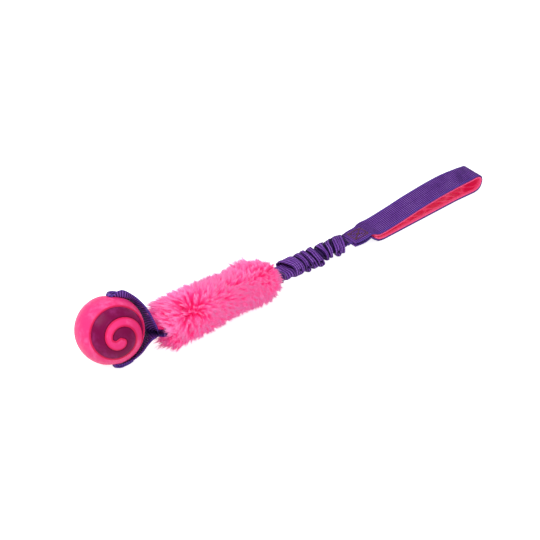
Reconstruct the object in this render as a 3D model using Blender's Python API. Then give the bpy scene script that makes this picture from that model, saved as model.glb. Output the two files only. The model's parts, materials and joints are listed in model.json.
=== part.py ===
"""Bungee ball tug toy, in metres, +Z up.

A rubber ball hangs on a loop of webbing. The two legs of the loop go into a long-pile sleeve, a ruched
bungee follows, and a lined webbing loop is the handle. The toy lies along X on the plane Z = 0, with the
ball at -X. The origin is under the centre of the object's box.
"""

import math

import bmesh
import bpy
from mathutils import Matrix, Vector

OBJECT_NAME = "bungee_ball_tug_toy"

# Clearances
GAP = 0.0003  # between pieces that touch
STRAP_GAP = 0.00035  # between the ball and the webbing round it
HOLLOW_REACH = 0.004  # a hollow's cutter past the ends of what it cuts
BORE_GAP = 0.0010  # between the bore's wall and the corners of the folded webbing in it

# Webbing and other flat stock
WEBBING_WIDTH = 0.025
WEBBING_THICKNESS = 0.0016
STRAP_WIDTH = 0.020
TONGUE_THICKNESS = 0.0016
THREAD = 0.0006
PAIR_THICKNESS = 2 * WEBBING_THICKNESS + GAP  # two layers, laid together

# Ball
BALL_DIAMETER = 0.065
BALL_RADIUS = BALL_DIAMETER / 2
BALL_SEGMENTS = 44
BORE_FOLD_WIDTH = 0.0100
BORE_FOLD_THICKNESS = 0.0034
BORE_RADIUS = math.hypot(BORE_FOLD_WIDTH / 2, BORE_FOLD_THICKNESS / 2) + BORE_GAP
BORE_LEAN = math.radians(35.3)  # bore axis from the vertical
BORE_HEADING = math.radians(55.6)  # the way it leans, from +X

# Swirl: its edges are angles from the swirl's own axis, as it winds clockwise from its inner end
SWIRL_DROP = math.radians(17.1)  # the swirl's axis below the ball's equator
SWIRL_TILT = math.radians(4.3)  # the axis round the bore, towards the neck
SWIRL_DEPTH = 0.0025
SWIRL_START = 176.0  # where the outer edge starts, degrees anticlockwise from the ball's right
SWIRL_OUTER = (14.8, 0.075)  # the outer edge's first angle, and its rise for each degree of winding
SWIRL_SWELL = (225.0, 231.0, 58.5)  # where the outer edge swells, over how long, and up to what angle
SWIRL_CLOSE = (500.0, 60.0, 8.5)  # where it draws in to the tip, over how long, and by what angle
SWIRL_INNER = (3.2, 0.109)
SWIRL_INNER_START = 138.0  # the winding at which the inner edge starts
SWIRL_TURN_END = 560.0
SWIRL_TIP_WIDTH = math.radians(1.0)
SWIRL_STEP = 15.0
SWIRL_END_WAVE = 0.12  # how far the inner end's edge swings each way, as a share of its length

# Webbing loop round the ball: degrees round from the bore's axis, stand-off from the ball, width
UPPER_LEG = ((12, 0.0010, 0.0100), (20, 0.0015, 0.0120), (36, 0.0012, 0.0180), (61, 0.0018, 0.0200))
LOWER_LEG = ((12, 0.0000, 0.0100), (28, 0.0000, 0.0150), (50, 0.0004, 0.0200), (66, 0.0018, 0.0200))
UPPER_MOUTH_RISE = 0.0030
LOWER_MOUTH_RISE = 0.0016

# Neck, where the legs meet and go into the sleeve
NECK_ADVANCE = 0.0462  # from the ball's centre along X
NECK_OFFSET = 0.0270  # from the ball's centre to the toy's line, along -Y
NECK_HEIGHT = 0.0190
NECK_HEADING = math.radians(133.0)  # the way the neck tab points, from +X
NECK_TAB_LENGTH = 0.0063
NECK_WIDTH = 0.0120
BARTACK_LENGTH = 0.0090

# Sleeve
SLEEVE_LENGTH = 0.1407  # from the neck's hinge to the bungee's hinge
CORE_FLARE = 0.0240  # over this length the core widens to the strap's width
BACKING_SLACK = 0.0011
BACKING_WALL = 0.0012
BALL_END_LIP = 0.0030  # bare backing at the ball end
BUNGEE_END_LIP = 0.0080
PILE_BALL_RADIUS = 0.0255  # the pile is fuller at the ball end
PILE_BUNGEE_RADIUS = 0.0225
PILE_SHIFT = -0.0010  # the pile's middle beside the core, along Y
PILE_ROUNDING = 0.0140
PILE_FLAT = 0.0005  # pressed flat on the ground by this much
PILE_RINGS = 18

# Bungee
BUNGEE_LENGTH = 0.0990  # between its two hinges, at rest
BUNGEE_DROP = 0.0052
RUCHE_WIDTH = 0.0250
RUCHE_HEIGHT = 0.0142
RUCHE_FOLDS = 9
RUCHE_DEPTH = 0.0024
ELASTIC_WIDTH = 0.0140
ELASTIC_THICKNESS = 0.0030
ELASTIC_SLACK = 0.0005
NEAR_TAB_LENGTH = 0.0040
FAR_TAB_LENGTH = 0.0100
FAR_TAB_WIDTH = 0.0180
TAPER_WIDTH = 0.0130  # where the bungee is pinched into the handle

# Handle
HANDLE_LENGTH = 0.1963
HANDLE_YAW = math.radians(-1.6)  # from the toy's line
HANDLE_BASE = 0.0240  # the sewn base, where the two layers hold the tongue
HANDLE_BASE_WIDTH = 0.0160
TONGUE_WIDTH = 0.0120
LOOP_SPREAD_START = 0.0460  # where the lower strand comes down on the ground
LOOP_HEIGHT = 0.0220  # over the loop's outside, at its widest
LOOP_COLUMNS = 3  # faces across the loop's webbing
LOOP_ROLL = math.radians(14.0)  # the upper strand leans towards -Y
LINING_THICKNESS = 0.0012
LINING_START = 0.0310
HEM_INSET = 0.0020
BOX_STITCH_LENGTH = 0.0180
BOX_STITCH_WIDTH = 0.0125
BOX_STITCH_START = 0.0045
BOX_STITCH_LINE = 0.0010

# Colours, as sRGB
PINK_RUBBER = (0.93, 0.24, 0.53)
PURPLE_RUBBER = (0.50, 0.06, 0.33)
PURPLE_NYLON = (0.36, 0.21, 0.52)
PINK_PILE = (1.00, 0.40, 0.66)
PINK_KNIT = (0.98, 0.55, 0.72)
PINK_SATIN = (0.90, 0.26, 0.46)
DARK_THREAD = (0.26, 0.09, 0.22)
PURPLE_THREAD = (0.30, 0.16, 0.44)
LATEX = (0.85, 0.80, 0.72)

# Places that follow from the sizes
TOY_LINE_Y = (PILE_BALL_RADIUS - PILE_SHIFT - NECK_OFFSET - BALL_RADIUS) / 2
BALL_X = -(NECK_ADVANCE + SLEEVE_LENGTH + BUNGEE_LENGTH + HANDLE_LENGTH - BALL_RADIUS) / 2
BALL_CENTRE = Vector((BALL_X, TOY_LINE_Y + NECK_OFFSET, BALL_RADIUS))
NECK = Vector((BALL_X + NECK_ADVANCE, TOY_LINE_Y, NECK_HEIGHT))
BUNGEE_ROOT = NECK + Vector((SLEEVE_LENGTH, 0, 0))
BUNGEE_REACH = math.sqrt(BUNGEE_LENGTH**2 - BUNGEE_DROP**2)
HANDLE_ROOT = BUNGEE_ROOT + Vector((BUNGEE_REACH, 0, -BUNGEE_DROP))

X, Y, Z = Vector((1, 0, 0)), Vector((0, 1, 0)), Vector((0, 0, 1))


def clear_scene():
    for obj in list(bpy.data.objects):
        bpy.data.objects.remove(obj, do_unlink=True)


def collection(name, hidden=False):
    made = bpy.data.collections.new(name)
    made.hide_render = hidden
    bpy.context.scene.collection.children.link(made)
    return made


def linear(channel):
    return channel / 12.92 if channel <= 0.04045 else ((channel + 0.055) / 1.055) ** 2.4


def material(name, colour, roughness):
    made = bpy.data.materials.new(name)
    made.use_nodes = True
    shader = made.node_tree.nodes["Principled BSDF"]
    shader.inputs["Base Color"].default_value = (*(linear(c) for c in colour), 1)
    shader.inputs["Roughness"].default_value = roughness
    shader.inputs["Metallic"].default_value = 0
    return made


def frame(origin, x_axis, y_axis, z_axis):
    """The matrix whose columns are these axes at this origin."""
    made = Matrix((x_axis, y_axis, z_axis)).transposed().to_4x4()
    made.translation = origin
    return made


def pivot(name, matrix, group, parent=None):
    empty = bpy.data.objects.new(name, None)
    group.objects.link(empty)
    if parent:
        empty.parent = parent
    bpy.context.view_layer.update()
    empty.matrix_world = matrix
    bpy.context.view_layer.update()
    return empty


def place(obj, parent):
    """Parents an object modelled in its pivot's own axes."""
    obj.parent = parent
    obj.matrix_parent_inverse = Matrix.Identity(4)


def mesh_object(name, bm, group, parent, finish=None):
    bmesh.ops.recalc_face_normals(bm, faces=bm.faces)
    mesh = bpy.data.meshes.new(name)
    bm.to_mesh(mesh)
    bm.free()
    mesh.shade_smooth()
    mesh.set_sharp_from_angle(angle=math.radians(35))
    obj = bpy.data.objects.new(name, mesh)
    group.objects.link(obj)
    place(obj, parent)
    if finish:
        mesh.materials.append(finish)
    return obj


def as_cutter(obj):
    obj.hide_render = True
    obj.display_type = "WIRE"
    return obj


def boolean(obj, cutter, operation="DIFFERENCE"):
    modifier = obj.modifiers.new(cutter.name, "BOOLEAN")
    modifier.operation = operation
    modifier.object = cutter
    modifier.solver = "EXACT"


def smoothstep(value):
    value = min(max(value, 0.0), 1.0)
    return value * value * (3 - 2 * value)


def slope_between(before, after):
    """A slope that never lets the line swing past a row: level where the numbers turn back."""
    return 2 * before * after / (before + after) if before * after > 0 else 0.0


def spline(rows, places, spans):
    """A smooth line through rows of numbers, with this many steps between two rows.

    The first numbers of a row are its place, and the slopes follow the distances between the places.
    """
    lengths = [math.dist(a[:places], b[:places]) for a, b in zip(rows, rows[1:])]
    rises = [[(b - a) / length for a, b in zip(*pair)] for *pair, length in zip(rows, rows[1:], lengths)]
    slopes = [rises[0]]
    for before, after in zip(rises, rises[1:]):
        slopes.append([slope_between(a, b) for a, b in zip(before, after)])
    slopes.append(rises[-1])
    made = []
    for i, length in enumerate(lengths):
        for step in range(spans):
            t = step / spans
            share = smoothstep(t)
            leaving, arriving = length * t * (1 - t) ** 2, length * t * t * (t - 1)
            row = []
            for k in range(len(rows[0])):
                straight = rows[i][k] * (1 - share) + rows[i + 1][k] * share
                row.append(straight + leaving * slopes[i][k] + arriving * slopes[i + 1][k])
            made.append(row)
    made.append(list(rows[-1]))
    return made


def loft(rings):
    """One closed skin over rings of as many corners each, with a flat cap at both ends."""
    bm = bmesh.new()
    rows = [[bm.verts.new(corner) for corner in ring] for ring in rings]
    count = len(rows[0])
    for row, following in zip(rows, rows[1:]):
        for i in range(count):
            j = (i + 1) % count
            bm.faces.new((row[i], row[j], following[j], following[i]))
    bm.faces.new(rows[0])
    bm.faces.new(rows[-1])
    return bm


def flat_section(centre, tangent, across, width, thickness, columns=1):
    """A strip's section as a ring of points: along its lower face, then back along its upper face."""
    across = (across - across.dot(tangent) * tangent).normalized()
    up = tangent.cross(across) * thickness / 2
    lower = [centre - up + across * width * (i / columns - 0.5) for i in range(columns + 1)]
    return lower + [point + 2 * up for point in reversed(lower)]


def tangents(centres):
    made = []
    for i in range(len(centres)):
        made.append((centres[min(i + 1, len(centres) - 1)] - centres[max(i - 1, 0)]).normalized())
    return made


def oval(x, half_width, half_height, count, shift_y=0.0, shift_z=0.0, floor=None):
    """A ring across X. Its lower side is flat where it would go below the floor."""
    ring = []
    for i in range(count):
        turn = 2 * math.pi * i / count
        z = shift_z + half_height * math.sin(turn)
        ring.append(Vector((x, shift_y + half_width * math.cos(turn), z if floor is None else max(z, floor))))
    return ring


def plate(name, outlines, thickness, group, parent, finish):
    """A flat piece from closed outlines in the XY plane. An outline inside another is a hole."""
    curve = bpy.data.curves.new(name, "CURVE")
    curve.dimensions = "2D"
    curve.fill_mode = "BOTH"
    curve.extrude = thickness / 2
    for outline in outlines:
        line = curve.splines.new("POLY")
        line.points.add(len(outline) - 1)
        for point, (x, y) in zip(line.points, outline):
            point.co = (x, y, 0, 1)
        line.use_cyclic_u = True
    shape = bpy.data.objects.new(name, curve)
    group.objects.link(shape)
    bpy.context.view_layer.update()
    mesh = bpy.data.meshes.new_from_object(shape.evaluated_get(bpy.context.evaluated_depsgraph_get()))
    bpy.data.objects.remove(shape, do_unlink=True)
    bm = bmesh.new()
    bm.from_mesh(mesh)
    bpy.data.meshes.remove(mesh)
    bmesh.ops.remove_doubles(bm, verts=bm.verts, dist=1e-6)
    return mesh_object(name, bm, group, parent, finish)


def rectangle(length, width):
    x, y = length / 2, width / 2
    return [(-x, -y), (x, -y), (x, y), (-x, y)]


def thread_ring(name, x, inner_width, inner_height, lift, group, parent, finish):
    """A turn of thread round a flat piece that runs along X."""
    outer = rectangle(inner_width + 2 * THREAD, inner_height + 2 * THREAD)
    ring = plate(name, (outer, rectangle(inner_width, inner_height)), 2 * THREAD, group, parent, finish)
    ring.data.transform(frame((x, 0, lift), Y, Z, X))
    return ring


# Ball


def swirl_outer_edge(winding):
    """Angle of the outer edge from the swirl's axis: it opens steadily, swells, and draws in to the tip."""
    first, rise = SWIRL_OUTER
    swell_start, swell_length, swollen = SWIRL_SWELL
    close_start, close_length, drop = SWIRL_CLOSE
    edge = first + rise * winding
    edge += (swollen - edge) * smoothstep((winding - swell_start) / swell_length)
    return math.radians(edge - drop * smoothstep((winding - close_start) / close_length))


def swirl_inner_edge(winding):
    first, rise = SWIRL_INNER
    return math.radians(first + rise * (winding - SWIRL_INNER_START))


def offset_outline(points, distance):
    """A closed anticlockwise outline, this much larger all round."""
    made = []
    for i, point in enumerate(points):
        before = (point - points[i - 1]).normalized()
        after = (points[(i + 1) % len(points)] - point).normalized()
        outward = Vector((before.y + after.y, -before.x - after.x)).normalized()
        made.append(point + outward * distance / max(outward.dot(Vector((after.y, -after.x))), 0.5))
    return made


def swirl_outline(clearance):
    """The swirl's outline, seen along its axis, this much larger all round."""

    def corner(winding, angle):
        turn, radius = math.radians(SWIRL_START - winding), BALL_RADIUS * math.sin(angle)
        return Vector((radius * math.cos(turn), radius * math.sin(turn)))

    outer, inner = [], []
    winding = 0.0
    while winding < SWIRL_TURN_END:
        outer.append(corner(winding, swirl_outer_edge(winding)))
        if winding > SWIRL_INNER_START:
            inner.append(corner(winding, swirl_inner_edge(winding)))
        winding += SWIRL_STEP
    tip = swirl_inner_edge(SWIRL_TURN_END)
    outer.append(corner(SWIRL_TURN_END, tip + SWIRL_TIP_WIDTH / 2))
    inner.append(corner(SWIRL_TURN_END, tip - SWIRL_TIP_WIDTH / 2))
    along = outer[0] - inner[0]
    outward = Vector((-along.y, along.x))
    cap = []
    for i in range(1, 8):
        wave = -SWIRL_END_WAVE * math.sin(2 * math.pi * i / 8)
        cap.append(inner[0] + along * i / 8 + outward * wave)
    clockwise = outer + inner[::-1] + cap
    return offset_outline(clockwise[::-1], clearance)


def ball_sphere(name, radius, group, parent, finish=None):
    bm = bmesh.new()
    bmesh.ops.create_uvsphere(bm, u_segments=BALL_SEGMENTS, v_segments=BALL_SEGMENTS // 2, radius=radius)
    return mesh_object(name, bm, group, parent, finish)


def swirl_prism(name, clearance, turned, group, parent, finish=None):
    """The swirl's outline drawn along its axis, from inside the ball to outside it."""
    low, high = BALL_RADIUS * 0.24, BALL_RADIUS * 1.10
    prism = plate(name, (swirl_outline(clearance),), high - low, group, parent, finish)
    up, side = Matrix.Rotation(SWIRL_DROP, 3, "X") @ Z, Matrix.Rotation(SWIRL_DROP, 3, "X") @ Y
    right = X * math.cos(SWIRL_TILT) + side * math.sin(SWIRL_TILT)
    axis = right.cross(up)
    prism.data.transform(Matrix.Rotation(turned, 4, "Z") @ frame(axis * (low + high) / 2, right, up, axis))
    return prism


def build_ball(parts, cutters, spin, pink, purple):
    ball = ball_sphere("ball_shell", BALL_RADIUS, parts, spin, pink)
    bm = bmesh.new()
    bmesh.ops.create_cone(
        bm, cap_ends=True, segments=32, radius1=BORE_RADIUS, radius2=BORE_RADIUS, depth=BALL_DIAMETER * 1.2
    )
    bore = as_cutter(mesh_object("bore_cutter", bm, cutters, spin))
    boolean(ball, bore)
    under = as_cutter(ball_sphere("under_swirl", BALL_RADIUS - SWIRL_DEPTH, cutters, spin))
    under_pocket = as_cutter(ball_sphere("under_pocket", BALL_RADIUS - SWIRL_DEPTH - GAP, cutters, spin))
    outside = as_cutter(ball_sphere("ball_outside", BALL_RADIUS, cutters, spin))
    for name, turned in (("swirl_front", 0.0), ("swirl_rear", math.pi)):
        pocket = as_cutter(swirl_prism(name + "_pocket", GAP, turned, cutters, spin))
        boolean(pocket, under_pocket)
        boolean(ball, pocket)
        swirl = swirl_prism(name, 0.0, turned, parts, spin, purple)
        boolean(swirl, outside, "INTERSECT")
        boolean(swirl, under)


# Webbing loop round the ball


def leg_rows(leg, side, mouth_rise, fold):
    """Rows of x, z, width and thickness up one leg, from the bore's middle to its last point by the neck."""
    rows = [(0, 0, BORE_FOLD_WIDTH, BORE_FOLD_THICKNESS)]
    mouth = BALL_RADIUS + mouth_rise
    rows.append((0, side * (BALL_RADIUS - 0.006), BORE_FOLD_WIDTH, BORE_FOLD_THICKNESS))
    rows.append((0, side * (BALL_RADIUS - 0.0015), BORE_FOLD_WIDTH, fold))
    rows.append((0.0012, side * (mouth - 0.0008), BORE_FOLD_WIDTH, fold))
    rows.append((0.0032, side * mouth, BORE_FOLD_WIDTH, fold))
    for degrees, stand_off, width in leg:
        flatness = smoothstep((degrees - 12) / 30)
        thickness = fold + (WEBBING_THICKNESS - fold) * flatness
        radius = BALL_RADIUS + STRAP_GAP + thickness / 2 + stand_off
        turn = math.radians(degrees)
        rows.append((radius * math.sin(turn), side * radius * math.cos(turn), width, thickness))
    return rows


def build_strap(parts, loop, finish):
    """The webbing: out of the neck, round the ball, through the bore and back, then the rounded end."""
    to_loop = loop.matrix_world.inverted()
    heading = Vector((math.cos(NECK_HEADING), math.sin(NECK_HEADING), 0))
    hinge = to_loop @ (NECK + heading * NECK_TAB_LENGTH)
    forward = (to_loop.to_3x3() @ -heading).normalized()
    upward = (to_loop.to_3x3() @ Z).normalized()
    across_neck = upward.cross(forward)
    half = PAIR_THICKNESS / 2
    ends = []
    for share in (0.0, 0.5, 0.8, 0.96):
        reach = half * share
        edge = math.sqrt(half**2 - reach**2)
        ends.append((reach, (edge + GAP / 2) / 2, edge - GAP / 2))

    centres, sizes, twist = [], [], []
    legs = ((UPPER_LEG, 1, UPPER_MOUTH_RISE, BORE_FOLD_THICKNESS), (LOWER_LEG, -1, LOWER_MOUTH_RISE, 0.0024))
    for leg, side, rise, fold in legs:
        rows = leg_rows(leg, side, rise, fold)
        start = hinge - forward * 0.004 + upward * side * ends[0][1]
        rows = [(x, 0, z, w, t, 0) for x, z, w, t in rows]
        rows.append((*start, NECK_WIDTH, WEBBING_THICKNESS, 1))
        line = spline(rows, 3, 3)
        points = [Vector(row[:3]) for row in line] + [
            hinge + forward * reach + upward * side * offset for reach, offset, _ in ends
        ]
        widths = [row[3:5] for row in line] + [[NECK_WIDTH, thickness] for *_, thickness in ends]
        turned = [row[5] for row in line] + [1.0] * len(ends)
        if side > 0:
            centres, sizes, twist = points[::-1], widths[::-1], turned[::-1]
        else:
            centres, sizes, twist = centres + points[1:], sizes + widths[1:], twist + turned[1:]
    rings = []
    last = len(centres) - 1
    for i, (centre, tangent) in enumerate(zip(centres, tangents(centres))):
        at_neck = i < len(ends) or i > last - len(ends)
        if at_neck:
            tangent = -forward if i < len(ends) else forward
        across = Y * (1 - twist[i]) + across_neck * twist[i]
        rings.append(flat_section(centre, tangent, across, *sizes[i]))
    mesh_object("ball_strap", loft(rings), parts, loop, finish)


def build_neck(parts, swing, webbing, thread):
    """The two legs laid together, in the swing pivot's axes: X points at the ball."""
    half = NECK_WIDTH / 2
    near = NECK_TAB_LENGTH - PAIR_THICKNESS / 2 - GAP
    outline = [(near, -half), (near, half)]
    for i in range(13):
        turn = math.pi / 2 + math.pi * i / 12
        outline.append((half * math.cos(turn), half * math.sin(turn)))
    plate("neck_tab", (outline,), PAIR_THICKNESS, parts, swing, webbing)
    bar = plate("neck_bartack", (rectangle(2 * THREAD, BARTACK_LENGTH),), THREAD, parts, swing, thread)
    bar.data.transform(Matrix.Translation((near / 2, 0, PAIR_THICKNESS / 2 + GAP + THREAD / 2)))


# Sleeve


def core_width(x):
    share = smoothstep((x - NECK_WIDTH / 2) / CORE_FLARE)
    return NECK_WIDTH + (STRAP_WIDTH - NECK_WIDTH) * share


def build_core(parts, sleeve, finish):
    start = NECK_WIDTH / 2 + GAP
    end = SLEEVE_LENGTH - PAIR_THICKNESS / 2 - GAP
    rings = []
    for x in core_stops(start, end):
        rings.append(flat_section(Vector((x, 0, 0)), X, Y, core_width(x), PAIR_THICKNESS))
    mesh_object("core_webbing", loft(rings), parts, sleeve, finish)


def backing_ring(x, growth):
    """The knitted tube's section round the core, this much outside its inner face."""
    half_width = core_width(x) / 2 + BACKING_SLACK + growth
    half_height = PAIR_THICKNESS / 2 + BACKING_SLACK + growth
    ring = []
    for i in range(24):
        turn = 2 * math.pi * i / 24
        cos, sin = math.cos(turn), math.sin(turn)
        y = half_width * math.copysign(abs(cos) ** 0.5, cos)
        z = half_height * math.copysign(abs(sin) ** 0.5, sin)
        ring.append(Vector((x, y, z)))
    return ring


def core_stops(start, end):
    """Where the rings along the core lie: closer together where it widens."""
    flare_end = NECK_WIDTH / 2 + CORE_FLARE
    return [start, *(start + (flare_end - start) * share for share in (0.25, 0.5, 0.75)), flare_end, end]


def backing_loft(start, end, growth):
    return loft([backing_ring(x, growth) for x in core_stops(start, end)])


def build_backing(parts, cutters, sleeve, knit, thread):
    start = NECK_WIDTH / 2 + 2 * GAP
    end = SLEEVE_LENGTH - PAIR_THICKNESS / 2 - GAP
    tube = mesh_object("fur_backing", backing_loft(start, end, BACKING_WALL), parts, sleeve, knit)
    bore = backing_loft(start - HOLLOW_REACH, end + HOLLOW_REACH, 0.0)
    boolean(tube, as_cutter(mesh_object("core_hollow", bore, cutters, sleeve)))
    near, far = start + BALL_END_LIP / 2, end - BALL_END_LIP / 2
    for name, x in (("sleeve_stitch_ball_end", near), ("sleeve_stitch_bungee_end", far)):
        inner = [(p.y, p.z) for p in backing_ring(x, BACKING_WALL + GAP)]
        outer = [(p.y, p.z) for p in backing_ring(x, BACKING_WALL + GAP + THREAD)]
        ring = plate(name, (outer, inner), 2 * THREAD, parts, sleeve, thread)
        ring.data.transform(frame((x, 0, 0), Y, Z, X))


def build_pile(parts, cutters, sleeve, finish):
    """The pile's outer form: fuller at the ball end, rounded at both, and flat on the ground."""
    start = NECK_WIDTH / 2 + 2 * GAP + BALL_END_LIP
    end = SLEEVE_LENGTH - PAIR_THICKNESS / 2 - GAP - BUNGEE_END_LIP
    rings = []
    for i in range(PILE_RINGS):
        share = (1 - math.cos(math.pi * i / (PILE_RINGS - 1))) / 2
        x = start + (end - start) * share
        full = PILE_BALL_RADIUS + (PILE_BUNGEE_RADIUS - PILE_BALL_RADIUS) * share
        inward = max(PILE_ROUNDING - min(x - start, end - x), 0) / PILE_ROUNDING
        radius = full - 0.6 * PILE_ROUNDING * (1 - math.sqrt(1 - inward**2))
        rings.append(oval(x, radius, radius, 32, PILE_SHIFT, full - PILE_FLAT - NECK_HEIGHT, -NECK_HEIGHT))
    pile = mesh_object("fur_pile", loft(rings), parts, sleeve, finish)
    hollow = backing_loft(start - HOLLOW_REACH, end + HOLLOW_REACH, BACKING_WALL + GAP)
    boolean(pile, as_cutter(mesh_object("pile_hollow", hollow, cutters, sleeve)))


# Bungee


def ruche_rows(start, end):
    """Rows of x and size share along the ruched tube: a crest and a valley for each fold."""
    rows = [(start, 0.35)]
    pitch = (end - start - 0.006) / RUCHE_FOLDS
    for fold in range(RUCHE_FOLDS):
        crest = 1.0 + 0.06 * math.sin(2.3 * fold)
        rows.append((start + 0.003 + pitch * (fold + 0.2), crest))
        rows.append((start + 0.003 + pitch * (fold + 0.55), crest))
        if fold < RUCHE_FOLDS - 1:
            rows.append((start + 0.003 + pitch * (fold + 0.9), 0.0))
    rows.append((end, 0.35))
    return rows


def build_bungee(parts, cutters, near, far, webbing, rubber, thread):
    """Near and far pivots share their axes. The sleeve and the elastic are modelled from the near one."""
    half_pair = PAIR_THICKNESS / 2
    rings = []
    for i in range(5):
        turn = math.pi / 2 * (0.15 + 0.85 * i / 4)
        x = -half_pair * math.cos(turn)
        rings.append(flat_section(Vector((x, 0, 0)), X, Y, STRAP_WIDTH, 2 * half_pair * math.sin(turn)))
    rings.append(flat_section(Vector((NEAR_TAB_LENGTH, 0, 0)), X, Y, STRAP_WIDTH, PAIR_THICKNESS))
    mesh_object("bungee_near_tab", loft(rings), parts, near, webbing)
    width, height = STRAP_WIDTH + 2 * GAP, PAIR_THICKNESS + 2 * GAP
    thread_ring("bungee_near_tack", NEAR_TAB_LENGTH / 2, width, height, 0, parts, near, thread)

    start = NEAR_TAB_LENGTH + GAP
    end = BUNGEE_LENGTH - FAR_TAB_LENGTH - GAP
    bore_width, bore_height = ELASTIC_WIDTH / 2 + ELASTIC_SLACK, ELASTIC_THICKNESS / 2 + ELASTIC_SLACK
    rings = []
    for x, share in ruche_rows(start, end):
        half_width = RUCHE_WIDTH / 2 - RUCHE_DEPTH * (1 - share)
        half_height = RUCHE_HEIGHT / 2 - RUCHE_DEPTH * (1 - share)
        rings.append(oval(x, half_width, half_height, 20))
    sleeve = mesh_object("bungee_sleeve", loft(rings), parts, near, webbing)
    hollow = []
    for x in (start - HOLLOW_REACH, end + HOLLOW_REACH):
        hollow.append(flat_section(Vector((x, 0, 0)), X, Y, 2 * bore_width, 2 * bore_height))
    boolean(sleeve, as_cutter(mesh_object("elastic_hollow", loft(hollow), cutters, near)))
    strip = [flat_section(Vector((x, 0, 0)), X, Y, ELASTIC_WIDTH, ELASTIC_THICKNESS) for x in (start, end)]
    mesh_object("bungee_elastic", loft(strip), parts, near, rubber)

    rings = [
        flat_section(Vector((-FAR_TAB_LENGTH, 0, 0)), X, Y, FAR_TAB_WIDTH, PAIR_THICKNESS),
        flat_section(Vector((-FAR_TAB_LENGTH * 0.55, 0, 0)), X, Y, TAPER_WIDTH + 0.001, TONGUE_THICKNESS + 0.0006),
    ]
    half_tongue = TONGUE_THICKNESS / 2
    for i in range(5):
        turn = math.pi / 2 * (1 - 0.85 * i / 4)
        x = half_tongue * math.cos(turn)
        rings.append(flat_section(Vector((x, 0, 0)), X, Y, TAPER_WIDTH, 2 * half_tongue * math.sin(turn)))
    mesh_object("bungee_far_tab", loft(rings), parts, far, webbing)
    width, height = TAPER_WIDTH + 0.001 + 2 * GAP, TONGUE_THICKNESS + 0.0006 + 2 * GAP
    thread_ring("bungee_far_tack", -FAR_TAB_LENGTH * 0.35, width, height, 0, parts, far, thread)


# Handle


def loop_rows():
    """Rows of x, height over the ground, width and roll round the loop, lower strand first."""
    base = HANDLE_ROOT.z
    layer = TONGUE_THICKNESS / 2 + GAP + WEBBING_THICKNESS / 2
    flat = WEBBING_THICKNESS / 2
    top = LOOP_HEIGHT - flat
    tip = HANDLE_LENGTH - flat
    spread = LOOP_SPREAD_START
    start = TONGUE_THICKNESS / 2 + 2 * GAP
    lower = [
        (start, base - layer, HANDLE_BASE_WIDTH, 0),
        (HANDLE_BASE * 0.5, base - layer, HANDLE_BASE_WIDTH + 0.003, 0),
        (HANDLE_BASE - 0.001, base - layer, WEBBING_WIDTH - 0.002, 0),
        (spread - 0.016, base * 0.52, WEBBING_WIDTH, 0),
        (spread - 0.008, base * 0.15, WEBBING_WIDTH, 0),
        (spread, flat, WEBBING_WIDTH, 0),
        (spread + 0.006, flat, WEBBING_WIDTH, 0),
        (HANDLE_LENGTH * 0.55, flat, WEBBING_WIDTH, 0),
        (tip - 0.024, flat, WEBBING_WIDTH, 0),
        (tip - 0.018, flat, WEBBING_WIDTH, 0),
        (tip - 0.009, flat + 0.0018, WEBBING_WIDTH, 0.1),
        (tip - 0.003, top * 0.28, WEBBING_WIDTH, 0.25),
        (tip, top * 0.52, WEBBING_WIDTH, 0.45),
    ]
    upper = [
        (tip - 0.003, top * 0.76, WEBBING_WIDTH, 0.65),
        (tip - 0.009, top * 0.92, WEBBING_WIDTH, 0.85),
        (tip - 0.020, top, WEBBING_WIDTH, 1),
        (HANDLE_LENGTH * 0.73, top * 0.99, WEBBING_WIDTH, 1),
        (HANDLE_LENGTH * 0.50, top * 0.86, WEBBING_WIDTH, 1),
        (HANDLE_LENGTH * 0.33, top * 0.68, WEBBING_WIDTH, 1),
        (HANDLE_BASE + 0.016, top * 0.60, WEBBING_WIDTH, 0.9),
        (HANDLE_BASE + 0.005, base + layer * 0.6, WEBBING_WIDTH - 0.001, 0.4),
        (HANDLE_BASE - 0.001, base + layer, WEBBING_WIDTH - 0.002, 0),
        (HANDLE_BASE * 0.5, base + layer, HANDLE_BASE_WIDTH + 0.003, 0),
        (start, base + layer, HANDLE_BASE_WIDTH, 0),
    ]
    return lower + upper


def loop_frames():
    """Stations round the loop: centre, tangent, direction across the webbing, and width."""
    rows = spline(loop_rows(), 2, 3)
    height = HANDLE_ROOT.z
    centres = [Vector((x, 0, z - height)) for x, z, _, _ in rows]
    made = []
    for centre, tangent, (_, _, width, roll) in zip(centres, tangents(centres), rows):
        across = Vector((0, math.cos(LOOP_ROLL * roll), math.sin(LOOP_ROLL * roll)))
        made.append((centre, tangent, across, width))
    return made


def strip_along(frames, inward, sideways, thickness, width=None, columns=1):
    """A strip that follows the loop, this far towards its inside and to its +Y side."""
    rings = []
    for centre, tangent, across, whole in frames:
        across = (across - across.dot(tangent) * tangent).normalized()
        place_at = centre + tangent.cross(across) * inward + across * sideways
        rings.append(flat_section(place_at, tangent, across, width or whole, thickness, columns))
    return loft(rings)


def build_box_stitch(name, lift, parts, cutters, handle, finish):
    """A sewn box with a cross in it, on the outside of the handle's base."""
    length, width, line = BOX_STITCH_LENGTH, BOX_STITCH_WIDTH, BOX_STITCH_LINE
    middle = BOX_STITCH_START + length / 2
    outlines = (rectangle(length, width), rectangle(length - 2 * line, width - 2 * line))
    box = plate(name, outlines, THREAD, parts, handle, finish)
    box.data.transform(Matrix.Translation((middle, 0, lift)))
    slope = math.atan2(width - line, length - line)
    for side in (1, -1):
        reach = math.hypot(width - line, length - line)
        bar = plate(f"{name}_cross", (rectangle(reach, line),), THREAD, cutters, handle, None)
        bar.data.transform(Matrix.Translation((middle, 0, lift)) @ Matrix.Rotation(side * slope, 4, "Z"))
        boolean(box, as_cutter(bar), "UNION")


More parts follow.
